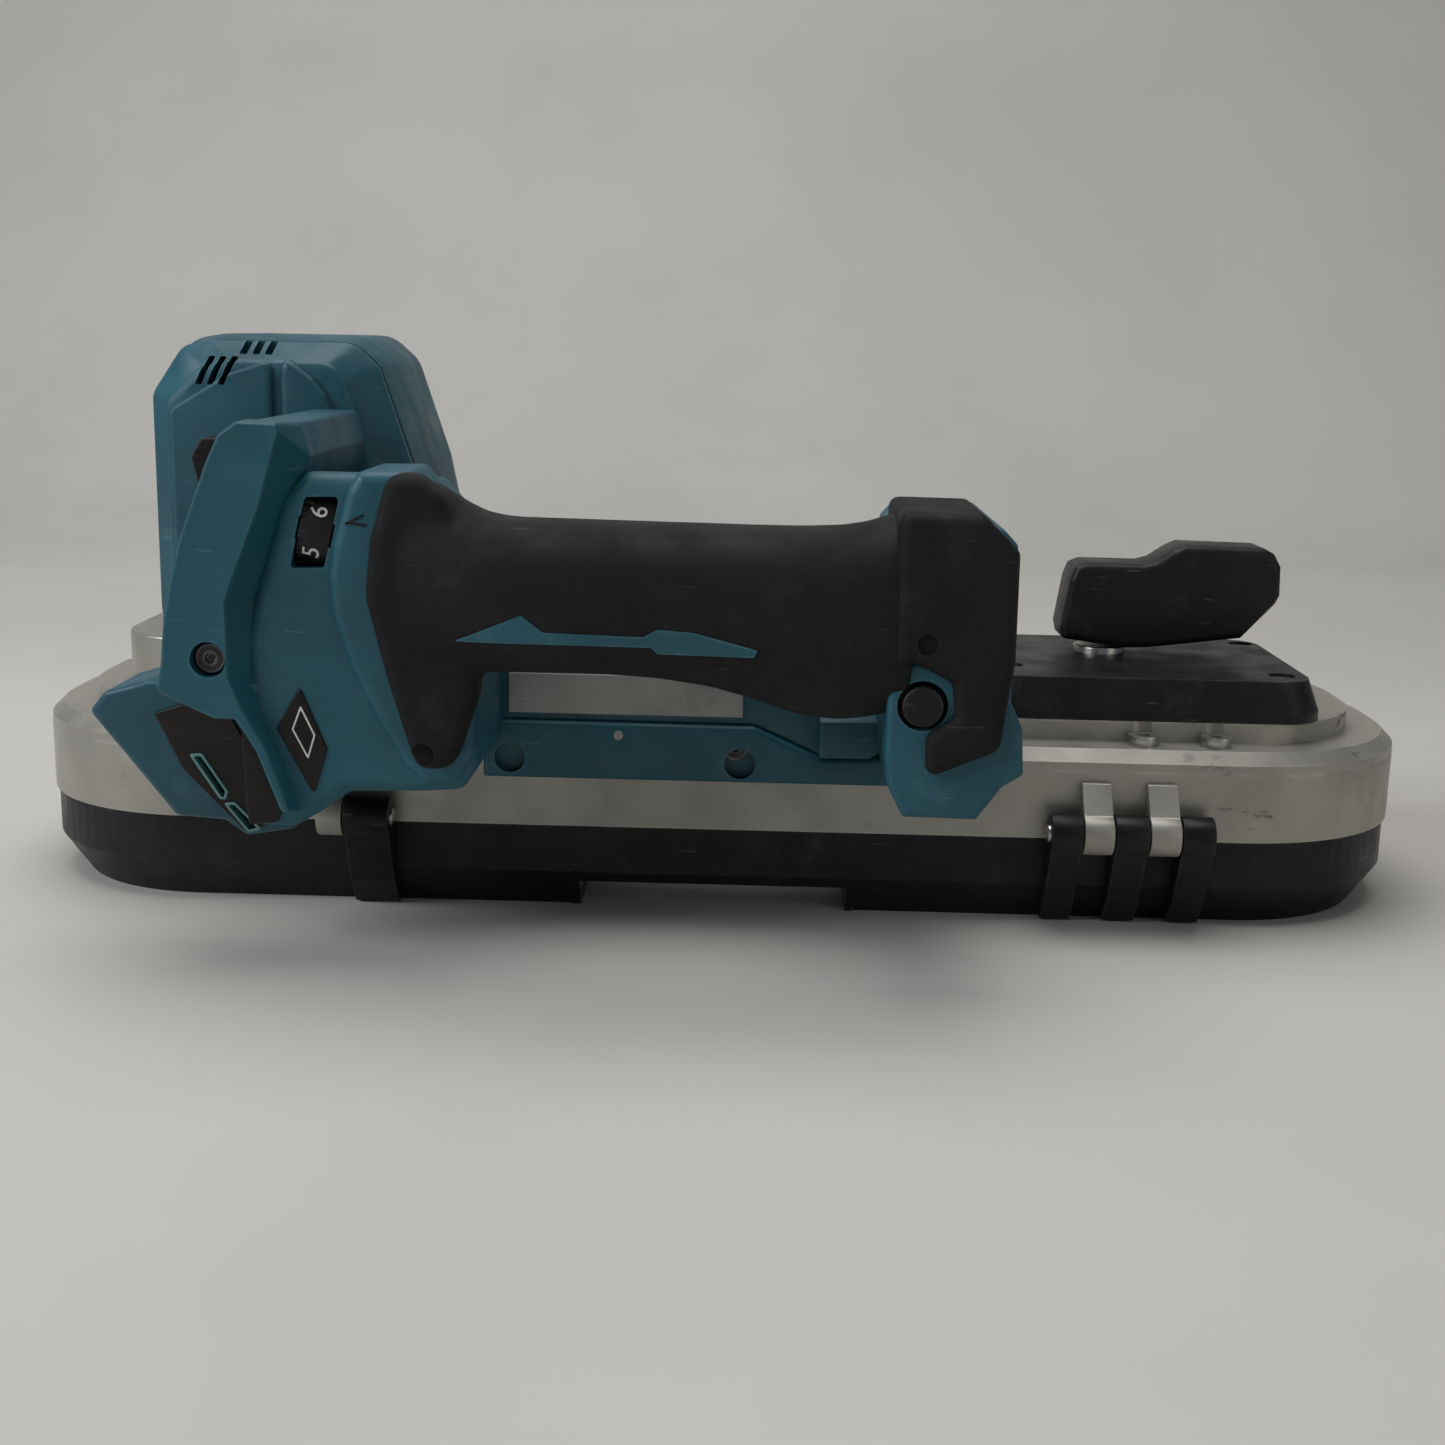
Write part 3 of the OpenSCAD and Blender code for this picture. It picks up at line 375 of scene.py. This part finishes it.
def cut(obj, *tools):
    """Cuts the tools' meshes out of obj and keeps the result as its mesh."""
    cutters = []
    for mesh in tools:
        cutter = bpy.data.objects.new("cutter", mesh)
        bpy.context.scene.collection.objects.link(cutter)
        modifier = obj.modifiers.new("cut", "BOOLEAN")
        modifier.object = cutter
        modifier.solver = "EXACT"
        cutters.append(cutter)
    obj.data = evaluated(obj)
    obj.data.set_sharp_from_angle(angle=math.radians(32))
    for cutter in cutters:
        bpy.data.objects.remove(cutter)


def rod(axis, u, v, r, start, end, count=40):
    angles = [2 * math.pi * i / count for i in range(count)]
    ring = [(u + r * math.cos(a), v + r * math.sin(a)) for a in angles]
    return skin([[place(axis, t, *p) for p in ring] for t in (start, end)])


# --- rear housing ---
BAND_FACE = [(-137, 83), (-138.5, 76), (-124, 69.4), (-118.6, 69.4), (-113.6, 61), (-107.8, 45.6), (-105.2, 45.4),
             (-110.6, 61.6), (-116.4, 72), (-119.6, 80), (-119.8, 99), (-116.7, 107.6),
             (-110.6, 123), (-105.4, 141), (-106.2, 143.2), (-116, 143.4), (-120.7, 140), (-124, 133),
             (-131.4, 113.4), (-135.8, 95)]
BAND_BACK = [(-139.5, 83), (-140, 76), (-124, 68.6), (-119.2, 68.4), (-114.4, 60.6), (-108.2, 43.6), (-101.6, 43.4),
             (-107, 56), (-110.8, 67), (-112.8, 80), (-112.4, 99), (-108.9, 108.5),
             (-104, 124), (-100.8, 134.6), (-103, 143.2), (-116, 143.4), (-121.9, 140.6), (-125.5, 133),
             (-132.8, 113.4), (-137.8, 95)]
REAR = [(-118, 40), (-106, 40), (-99.5, 44), (-92, 49.5), (-73, 50), (-63, 50.8), (-58.8, 57), (-58.8, 102),
        (-63, 112), (-69, 122), (-76, 131.4), (-101, 131.5), (-108, 124), (-114, 104), (-118, 90)]
REAR_UPPER = [(-118, 62.5), (-58.8, 62.5), (-58.8, 100), (-64, 110), (-71, 121), (-79, 131.4), (-101, 131.5),
              (-108, 124), (-114, 104), (-118, 90)]
COLLAR = [(-76.8, 57.5), (-84, 69.7), (-90.1, 82.4), (-94.5, 95), (-95.3, 105.4), (-94.1, 113.7), (-90.2, 127),
          (-87.5, 131.7), (-75, 131.8), (-68, 123), (-61.5, 110), (-59.4, 90), (-59, 62), (-64, 53.2), (-72, 53.2)]
ROOT = [(-72.4, 58.5), (-79.4, 81.3), (-84.6, 102), (-83.2, 116), (-78.6, 131.8), (-71.5, 131.9), (-65.5, 127),
        (-60, 118), (-57, 108), (-57, 78), (-63.2, 59.4)]
BAY_ROOF = [(-109.5, 128), (-103.6, 125), (-101, 134.6), (-103.4, 142.9), (-116.5, 142.9), (-118, 137),
            (-109, 137)]


def sink_top(mesh):
    """Slopes the top of the rear housing down towards the far side."""
    for vertex in mesh.vertices:
        y, z = vertex.co.y / MM, vertex.co.z / MM
        vertex.co.z -= 0.095 * MM * max(0, y + 86) * min(1, max(0, (z - 106) / 20))
    return mesh


rear = add_piece("rear_shell", sink_top(slab("y", REAR, -85.5, -24.6, 4.5, 4, last=False)), "teal_plastic",
                 "chassis", ("housing_main", "housing_upper", "housing_base"))
dial_low, dial_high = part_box("speed_dial")
dial = [(low + high) / 2 / MM for low, high in zip(dial_low, dial_high)]
dial_centre = Matrix.Translation(Vector(dial) * MM)
DIAL_TILT = 13
dial_tilt = Matrix.Rotation(math.radians(DIAL_TILT), 4, "Y")
window = [(dial[0] + x, dial[2] + z) for x, z in ((-6.5, -9.2), (2.1, -9), (6.3, 8.8), (-2.3, 8.6))]
pocket = rod("x", 0, 0, 12.7, -4.6, 4.6)
pocket.transform(dial_centre @ dial_tilt)
cut(rear, slab("y", window, -92, -79, 0.2, 1.2), pocket)
add_piece("rear_back", sink_top(slab("y", REAR_UPPER, -24.8, -10.8, 2.5, 3, first=False)), "teal_plastic",
          "chassis")
SKIRT = [(-118.4, 71), (-113.8, 61.4), (-108.4, 45.6), (-110, 41.8), (-117.4, 41), (-118.4, 60)]
add_piece("vent_skirt", slab("y", SKIRT, -86.2, -82, 0.4, 1, last=False), "dark_panel", "chassis")
BAND_SECTIONS = [(-91, BAND_FACE, 0.7), (-90.7, BAND_FACE, 0.3), (-90, BAND_FACE, 0),
                 (-80.6, BAND_BACK, 0), (-79.6, BAND_BACK, 0.3), (-79.2, BAND_BACK, 1)]
band = add_piece("battery_band", loft("y", BAND_SECTIONS, 2.2), "teal_plastic", "chassis")
cut(band, rod("y", -125, 84.5, 4.5, -93, -84.5))
add_piece("bay_roof", slab("y", BAY_ROOF, -79.3, -12, 1.2, 1.5), "teal_plastic", "chassis")
add_piece("grip_collar", slab("y", COLLAR, -88.2, -60, 3, 3, last=False), "teal_plastic", "chassis")


# --- grip ---
def superellipse(y0, y1, z0, z1, power=2.9, count=48):
    ring = []
    for i in range(count):
        a = 2 * math.pi * i / count
        c, s = math.cos(a), math.sin(a)
        ring.append(((y0 + y1) / 2 + (y1 - y0) / 2 * math.copysign(abs(c) ** (2 / power), c),
                     (z0 + z1) / 2 + (z1 - z0) / 2 * math.copysign(abs(s) ** (2 / power), s)))
    return ring


# x, lowest z, highest z, nearest y, furthest y
GRIP = [(-78, 84, 131, -96.5, -66), (-73, 82, 130.2, -98.5, -65), (-67, 81.6, 127.6, -100, -64),
        (-62, 81.9, 124.4, -101.3, -63.6), (-57, 82.4, 122, -102.3, -63.3),
        (-52, 82.9, 121, -102.7, -63.1), (-48, 83, 120.7, -102.8, -63.1),
        (-31, 83.1, 120.5, -103, -63), (-13, 82.2, 120.3, -103, -63), (0, 80.4, 120.2, -103, -63),
        (10, 77.8, 120.1, -103, -63), (18, 75, 120.1, -103, -63), (24, 73.4, 120.2, -102.8, -63),
        (32, 72.8, 120.6, -102.6, -63), (38, 73.4, 121.6, -102.4, -63), (43, 74.4, 123.2, -102.2, -63),
        (49, 75, 124.5, -102, -63)]


def blended(meshes, voxel, passes, keep):
    """One skin over several closed meshes, with the inner corners where they meet filled softly."""
    joined = bmesh.new()
    for mesh in meshes:
        joined.from_mesh(mesh)
    whole = bpy.data.meshes.new("blend")
    joined.to_mesh(whole)
    joined.free()
    obj = bpy.data.objects.new("blend", whole)
    bpy.context.scene.collection.objects.link(obj)
    remesh = obj.modifiers.new("remesh", "REMESH")
    remesh.mode = "VOXEL"
    remesh.voxel_size = voxel * MM
    smooth = obj.modifiers.new("smooth", "SMOOTH")
    smooth.iterations = passes
    thin = obj.modifiers.new("thin", "DECIMATE")
    thin.ratio = keep
    mesh = evaluated(obj)
    bpy.data.objects.remove(obj)
    return mesh


grip_skin = skin([[place("x", x, *p) for p in superellipse(y0, y1, z0, z1)] for x, z0, z1, y0, y1 in GRIP])
root_block = slab("y", ROOT, -97.5, -84, 3, 5)
grip = add_piece("grip_sleeve", blended([grip_skin, root_block], 0.9, 12, 0.3), "grip_rubber", "chassis",
                 ("grip_rubber",), 60)
cut(grip, rod("y", -70.6, 63, 3, -104, -95))
trigger_slot = [(13.2, 92.2), (42.8, 92.2), (42.8, 109.8), (13.2, 109.8)]
cut(grip, slab("y", trigger_slot, -80, -50, 0.3, 3))

INLAY = [(-62, 92.4), (-59.6, 93.4), (-45.4, 99.4), (-40, 95.3), (-16, 94.8), (-12.6, 96.7), (-3.8, 96.2),
         (11.7, 92.2), (10.7, 90.4), (-12.5, 90.6), (-14, 92.2)]
inlay = add_piece("grip_inlay_strip", slab("y", INLAY, -104, -90, 0.2, 0.6), "teal_plastic", "chassis",
                  ("grip_inlay",))


def keep_inside(obj, mesh):
    """Keeps only the part of obj that lies inside the closed mesh."""
    tool = bpy.data.objects.new("cutter", mesh)
    bpy.context.scene.collection.objects.link(tool)
    modifier = obj.modifiers.new("keep", "BOOLEAN")
    modifier.object = tool
    modifier.operation = "INTERSECT"
    modifier.solver = "EXACT"
    obj.data = evaluated(obj)
    bpy.data.objects.remove(tool)


keep_inside(inlay, skin([[place("x", x, *p) for p in superellipse(y0 - 0.25, y1, z0 - 0.25, z1)]
                         for x, z0, z1, y0, y1 in GRIP]))

# --- speed dial ---
def lettering(name, text, size, matrix, material, body):
    """A raised digit or mark, from Blender's own font."""
    curve = bpy.data.curves.new(name, "FONT")
    curve.body = text
    curve.size = size * MM
    curve.extrude = 0.12 * MM
    curve.align_x = "CENTER"
    curve.align_y = "CENTER"
    made = bpy.data.objects.new(name, curve)
    bpy.context.scene.collection.objects.link(made)
    mesh = evaluated(made)
    bpy.data.objects.remove(made)
    mesh.transform(matrix)
    return add_piece(name, mesh, material, body)


DIAL_STEP = 50
DIAL_TURN = -24
DIGIT_SIZE = 6.2
for number in range(1, 7):
    # Seen from the front the text's top points along -X, and 6 sits just above the middle of the window.
    upright = Matrix(((0, -1, 0), (0, 0, -1), (1, 0, 0))).to_4x4()
    turn = Matrix.Rotation(math.radians(DIAL_TURN + DIAL_STEP * (6 - number)), 4, "X")
    lift = Matrix.Translation((0, -(dial_high.y - dial_low.y) / 2 - 0.02 * MM, 0))
    at_digit = dial_centre @ dial_tilt @ turn @ lift @ upright
    lettering(f"dial_digit_{number}", str(number), DIGIT_SIZE, at_digit, "marking", "speed_dial")
POINTER = [[(-90.8, 118.9), (-90.2, 118.6), (-85.8, 120.9), (-85.9, 121.4)],
           [(-90.8, 118.9), (-90.2, 119.3), (-85.3, 118.9), (-85.3, 118.3)]]
for number, stroke in enumerate(POINTER, 1):
    add_piece(f"dial_pointer_{number}", slab("y", stroke[::-1], -88.4, -87, 0.02, 0.02), "black_plastic",
              "chassis")

# --- front post ---
POST_PAD = [(44.5, 126.2), (64.5, 126), (73.6, 117), (73.8, 90), (70.9, 68.6), (53.2, 61), (53, 71.8),
            (59.9, 76.6), (58.9, 85), (49.4, 89.8), (44.5, 88)]
POST_CORE = [(44.5, 57.6), (48.3, 51), (66.4, 50.6), (72.2, 58.8), (76.2, 62), (76.2, 73), (74, 79.5), (73.8, 118),
             (70, 122), (48, 122), (44.5, 118)]
POST_TEAL = [(44.7, 57.6), (48.3, 50.8), (66.4, 50.6), (72.2, 58.8), (77.4, 62.2), (76.6, 73.7), (74, 79.3),
             (60, 88), (50, 90), (43.4, 86), (43.4, 66)]
lock_low, lock_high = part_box("lock_off_button")
LOCK_CENTRE = [(lock_low[i] + lock_high[i]) / 2 / MM for i in (0, 2)]
pad = add_piece("post_pad", slab("y", POST_PAD, -103, -60, 3, 3, last=False), "grip_rubber", "chassis",
                ("front_pad",))
teal_front = add_piece("post_front", slab("y", POST_TEAL, -99.5, -86, 1.6, 1.4, last=False), "teal_plastic",
                       "chassis")
core = add_piece("post_core", slab("y", POST_CORE, -96, -24.6, 2, 2, last=False), "teal_plastic", "chassis")
for obj in (pad, teal_front, core):
    cut(obj, rod("y", *LOCK_CENTRE, 6.2, -104, -88))
cut(pad, rod("y", 52.4, 94.6, 2.6, -104, -101.8))

# --- motor housing ---
MOTOR = [(-165.5, 76.5), (-165.5, 146), (-156, 160), (-147, 161.6), (-107, 161.6), (-99.5, 155), (-89.8, 126),
         (-84, 98), (-84, 76.5)]
MOTOR_FACE = [(-160, 79), (-160, 144), (-150, 154), (-141, 156), (-112, 156), (-107.5, 151), (-98.5, 124),
              (-94, 98), (-94, 79)]
FACE_RIGHT = [(-125.6, 158.4), (-116.5, 151.4), (-113, 147), (-105.6, 126), (-99, 98), (-99, 80), (-125.6, 80)]
FACE_LEFT = [(-158, 80), (-158, 142), (-146.5, 149), (-142, 152), (-128.4, 156.6), (-128.4, 80)]
FAR_SPLIT = 3
NEAR_SECTIONS = [(-8, MOTOR_FACE, 2.4), (-7.2, MOTOR_FACE, 0.7), (-5.6, MOTOR_FACE, 0), (-1.8, MOTOR, 0.9),
                 (-0.6, MOTOR, 0.2), (FAR_SPLIT - 0.4, MOTOR, 0.4)]
near_half = add_piece("motor_shell_near", loft("y", NEAR_SECTIONS, 7), "teal_plastic", "chassis",
                      ("motor_housing_near",))
FAR_SECTIONS = [(FAR_SPLIT + 0.4, MOTOR, 0.5), (FAR_SPLIT + 0.6, MOTOR, 0), (12, MOTOR, -1.6),
                (56, MOTOR, -1.6), (64, MOTOR, 0.4), (71, MOTOR, 5), (74.6, MOTOR, 9), (75.8, MOTOR, 12)]
far_half = add_piece("motor_shell_far", loft("y", FAR_SECTIONS, 9), "teal_plastic", "chassis",
                     ("motor_housing_far",))
add_piece("motor_face_right", slab("y", FACE_RIGHT, -10.6, -3, 1.8, 3, last=False), "teal_plastic", "chassis")
face_left = add_piece("motor_face_left", slab("y", FACE_LEFT, -9.4, -3, 1.2, 3, last=False), "teal_plastic",
                      "chassis")
TOP_SLOTS = [[(x, 170), (x + 2.2, 170), (x - 2.2, 157.6), (x - 4.4, 157.6)] for x in (-134.4, -130.8, -127.2)]
SIDE_SLOTS = [[(x, 157), (x + 2, 157), (x - 1.4, 149), (x - 3.4, 149)] for x in (-147.4, -144, -140.6)]
for half in (near_half, face_left):
    cut(half, *[slab("y", slot, -14, 1, 0.2, 0.5) for slot in TOP_SLOTS + SIDE_SLOTS])
END_SLOTS = [[(x, 60), (x + 4, 60), (x + 4, 90), (x, 90)] for x in (-152, -141, -130, -119)]
cut(far_half, *[slab("z", slot, 121, 143, 0.4, 1) for slot in END_SLOTS])

# --- base ---
BASE_LOW = [(-64, 44.2), (49, 44.2), (49, 53.4), (43, 52), (30, 51.8), (11, 60.3), (-64, 60.6)]
BASE_HIGH = [(-64, 60), (11.2, 60), (30, 51.6), (50, 53.4), (50, 64), (42, 66.5), (24, 66.5), (13, 75), (-64, 77)]
low = add_piece("base_low", slab("y", BASE_LOW, -41.5, -24.6, 1.6, 1, last=False), "teal_plastic", "chassis")
cut(low, *[rod("y", x, z, 4.3, -43, -38.2) for x, z in ((-56.5, 50), (7.4, 49.6))])
add_piece("base_high", slab("y", BASE_HIGH, -39.4, -24.8, 1.2, 1.2, last=False), "teal_plastic", "chassis")

# --- frame shoulder ---
frame_low, frame_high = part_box("main_frame")
x0, y0, x1, y1 = [v / MM for v in (frame_low.x, frame_low.y, frame_high.x, frame_high.y)]
FRAME_CORNER = 55
CORNERS = [(x1, y1, 0), (x0, y1, 90), (x0, y0, 180), (x1, y0, 270)]
FRAME_PLAN = []
for x, y, first in CORNERS:
    centre_x = x - math.copysign(FRAME_CORNER, x)
    centre_y = y - FRAME_CORNER if y == y1 else y + FRAME_CORNER
    for degrees in range(first, first + 91, 6):
        a = math.radians(degrees)
        FRAME_PLAN.append((centre_x + FRAME_CORNER * math.cos(a), centre_y + FRAME_CORNER * math.sin(a)))
shoulder = add_piece("frame_shoulder", loft("z", [(46.02, FRAME_PLAN, 0.05), (48.6, FRAME_PLAN, 0.1),
                                                  (52.06, FRAME_PLAN, 3.6)], 0.3, 1), "frame_metal", "chassis")
cut(shoulder, slab("z", [(-49, 2.4), (49, 2.4), (49, 140), (-49, 140)], 40, 60, 0.1, 8))

# --- tension lever ---
plate_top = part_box("tension_cover")[1].z / MM
LEVER = [(105.9, 78.6), (106.8, 74.8), (126, 72.2), (133.7, 72.5), (162.2, 76.1), (172.1, 87.1), (173.4, 89.8),
         (173, 98.8), (170.8, 102.7), (167.5, 104.4), (143.1, 104.9), (139.6, 103.2), (134.5, 99.7), (130.7, 98.6),
         (112.7, 98.7), (109.5, 97.3), (108.1, 93.4)]
lever_outline = [(x, max(z, plate_top + 0.5)) for x, z in LEVER]
add_piece("lever_handle", slab("y", lever_outline, 33.3, 52.7, 2.4, 1.2), "black_plastic", "tension_lever",
          ("tension_lever",))

BLOCK = [(28.8, 64.3), (46.6, 64.6), (46.6, 56.4), (42.7, 53.8), (28.8, 53.6)]
add_piece("base_block", slab("y", BLOCK, -50, -36, 1.2, 1, last=False), "teal_plastic", "chassis")
add_piece("base_stud", rod("y", -26.3, 57.1, 1.3, -42.2, -39), "plate_grey", "chassis")

# --- wing and vent ---
WING_SLOPE = 0.39


def lean(mesh):
    """Leans the near face of the wing back towards the floor."""
    for vertex in mesh.vertices:
        x, y, z = vertex.co / MM
        if y < -60:
            vertex.co.y = (y + WING_SLOPE * (78 - z)) * MM
    return mesh


WING = [(-143, 77.6), (-153.6, 74.4), (-158.6, 69), (-141, 38.6), (-128, 37.6), (-123, 33), (-110, 35.5),
        (-104, 44), (-110, 60), (-113.5, 78)]
VENT = [(-129.5, 73.3), (-141.5, 69), (-136.5, 53), (-123, 34.8), (-112, 38.5), (-109.5, 42), (-117, 56.5),
        (-121.4, 68), (-124.6, 73)]
SLOTS = [[(-134.2, 57.8), (-130.6, 58), (-125.4, 47), (-126.4, 44.4), (-128, 44.6)],
         [(-127.4, 43.6), (-124, 43.8), (-118, 35.6), (-122, 34.6)]]
wing = add_piece("wing", lean(slab("y", WING, -86.5, -56, 2, 2.4)), "teal_plastic", "chassis", ("rear_wing",))
vent = add_piece("vent", lean(slab("y", VENT, -87.3, -82, 0.6, 1.2)), "dark_panel", "chassis", ("vent_panel",))
wing_parts = (wing, vent)
for i, slot in enumerate(SLOTS):
    rim = add_piece(f"vent_rim_{i + 1}", lean(slab("y", slot, -87.8, -84, 0.3, 0.8)), "rim_teal", "chassis")
    for part in wing_parts:
        cut(part, lean(slab("y", inset_polygon(slot, 0.15), -90, -74, 0.1, 0.6)))
    cut(rim, lean(slab("y", inset_polygon(slot, 0.75), -90, -80, 0.1, 0.5)))

LAMP = [(-103.4, 77.4), (-109.6, 66.4), (-100.4, 49.2), (-96.8, 61.4)]
add_piece("lamp_badge", slab("y", LAMP, -86.1, -84.6, 0.4, 0.8), "dark_panel", "chassis", ("lamp_panel",))
DIAMOND = [(-103.2, 72.6), (-105.6, 66.4), (-101.6, 58.6), (-99.6, 65)]
diamond = add_piece("lamp_diamond", slab("y", DIAMOND, -86.3, -85.9, 0.05, 0.2), "marking", "chassis")
cut(diamond, slab("y", inset_polygon(DIAMOND, 0.45), -88, -84, 0.02, 0.1))


# --- floor, light and camera ---
def floor():
    g = Graph("floor")
    shade = g.blend(g.ramp(g.noise(3, 4), 0.3, 0.7), (0.52, 0.50, 0.47), (0.57, 0.55, 0.52))
    g.bump((g.noise(400, 3), 0.05, 0.0003))
    material = g.finish(shade, g.ramp(g.noise(8, 3), 0.3, 0.7, 0.55, 0.7))
    mesh = bpy.data.meshes.new("floor")
    half, back, rise, bend = 3.0, 1.25, 2.0, 0.4
    path = [(-half, 0.0), (back - bend, 0.0)]
    path += [(back - bend + bend * math.sin(t), bend - bend * math.cos(t))
             for t in [math.radians(a) for a in range(10, 91, 10)]]
    path += [(back, rise)]
    points = [(x, y, z) for y, z in path for x in (-half, half)]
    faces = [(2 * i, 2 * i + 1, 2 * i + 3, 2 * i + 2) for i in range(len(path) - 1)]
    mesh.from_pydata(points, [], faces)
    for polygon in mesh.polygons:
        polygon.use_smooth = True
    mesh.materials.append(material)
    obj = bpy.data.objects.new("floor", mesh)
    bpy.context.scene.collection.objects.link(obj)


def area_light(name, place, aim, size, power, color=(1, 1, 1)):
    light = bpy.data.lights.new(name, "AREA")
    light.shape = "DISK"
    light.size = size
    light.energy = power
    light.color = color
    obj = bpy.data.objects.new(name, light)
    obj.location = place
    obj.rotation_euler = (Vector(aim) - Vector(place)).to_track_quat("-Z", "Y").to_euler()
    bpy.context.scene.collection.objects.link(obj)


def camera():
    """A camera at the photograph's angle: 12 degrees down, a little turned and rolled."""
    pitch, yaw, roll = math.radians(12), math.radians(1.1), math.radians(1.2)
    ahead = Vector((math.sin(-yaw) * math.cos(pitch), math.cos(-yaw) * math.cos(pitch), -math.sin(pitch)))
    right = ahead.cross(Vector((0, 0, 1))).normalized()
    down = ahead.cross(right)
    side = right * math.cos(roll) - down * math.sin(roll)
    under = right * math.sin(roll) + down * math.cos(roll)
    data = bpy.data.cameras.new("camera")
    data.lens = 46.34
    data.sensor_width = 36
    data.clip_start = 0.01
    obj = bpy.data.objects.new("camera", data)
    obj.matrix_world = Matrix((
        (side.x, -under.x, -ahead.x, 0.012),
        (side.y, -under.y, -ahead.y, -0.543),
        (side.z, -under.z, -ahead.z, 0.168),
        (0, 0, 0, 1),
    ))
    bpy.context.scene.collection.objects.link(obj)
    bpy.context.scene.camera = obj


floor()
camera()
area_light("sky", (-0.1, 0.1, 1.5), (0, 0, 0), 1.4, 14)
area_light("left_window", (-1.35, -0.75, 0.95), (-0.05, 0, 0.06), 0.8, 16, (0.93, 0.97, 1))
area_light("right_fill", (1.2, -1.1, 0.6), (0.05, 0, 0.05), 0.9, 2, (1, 0.95, 0.9))
world = bpy.data.worlds.new("world")
bpy.context.scene.world = world
world.use_nodes = True
world.node_tree.nodes["Background"].inputs["Color"].default_value = (0.8, 0.82, 0.85, 1)
world.node_tree.nodes["Background"].inputs["Strength"].default_value = 0.2
bpy.context.scene.view_settings.view_transform = "Standard"
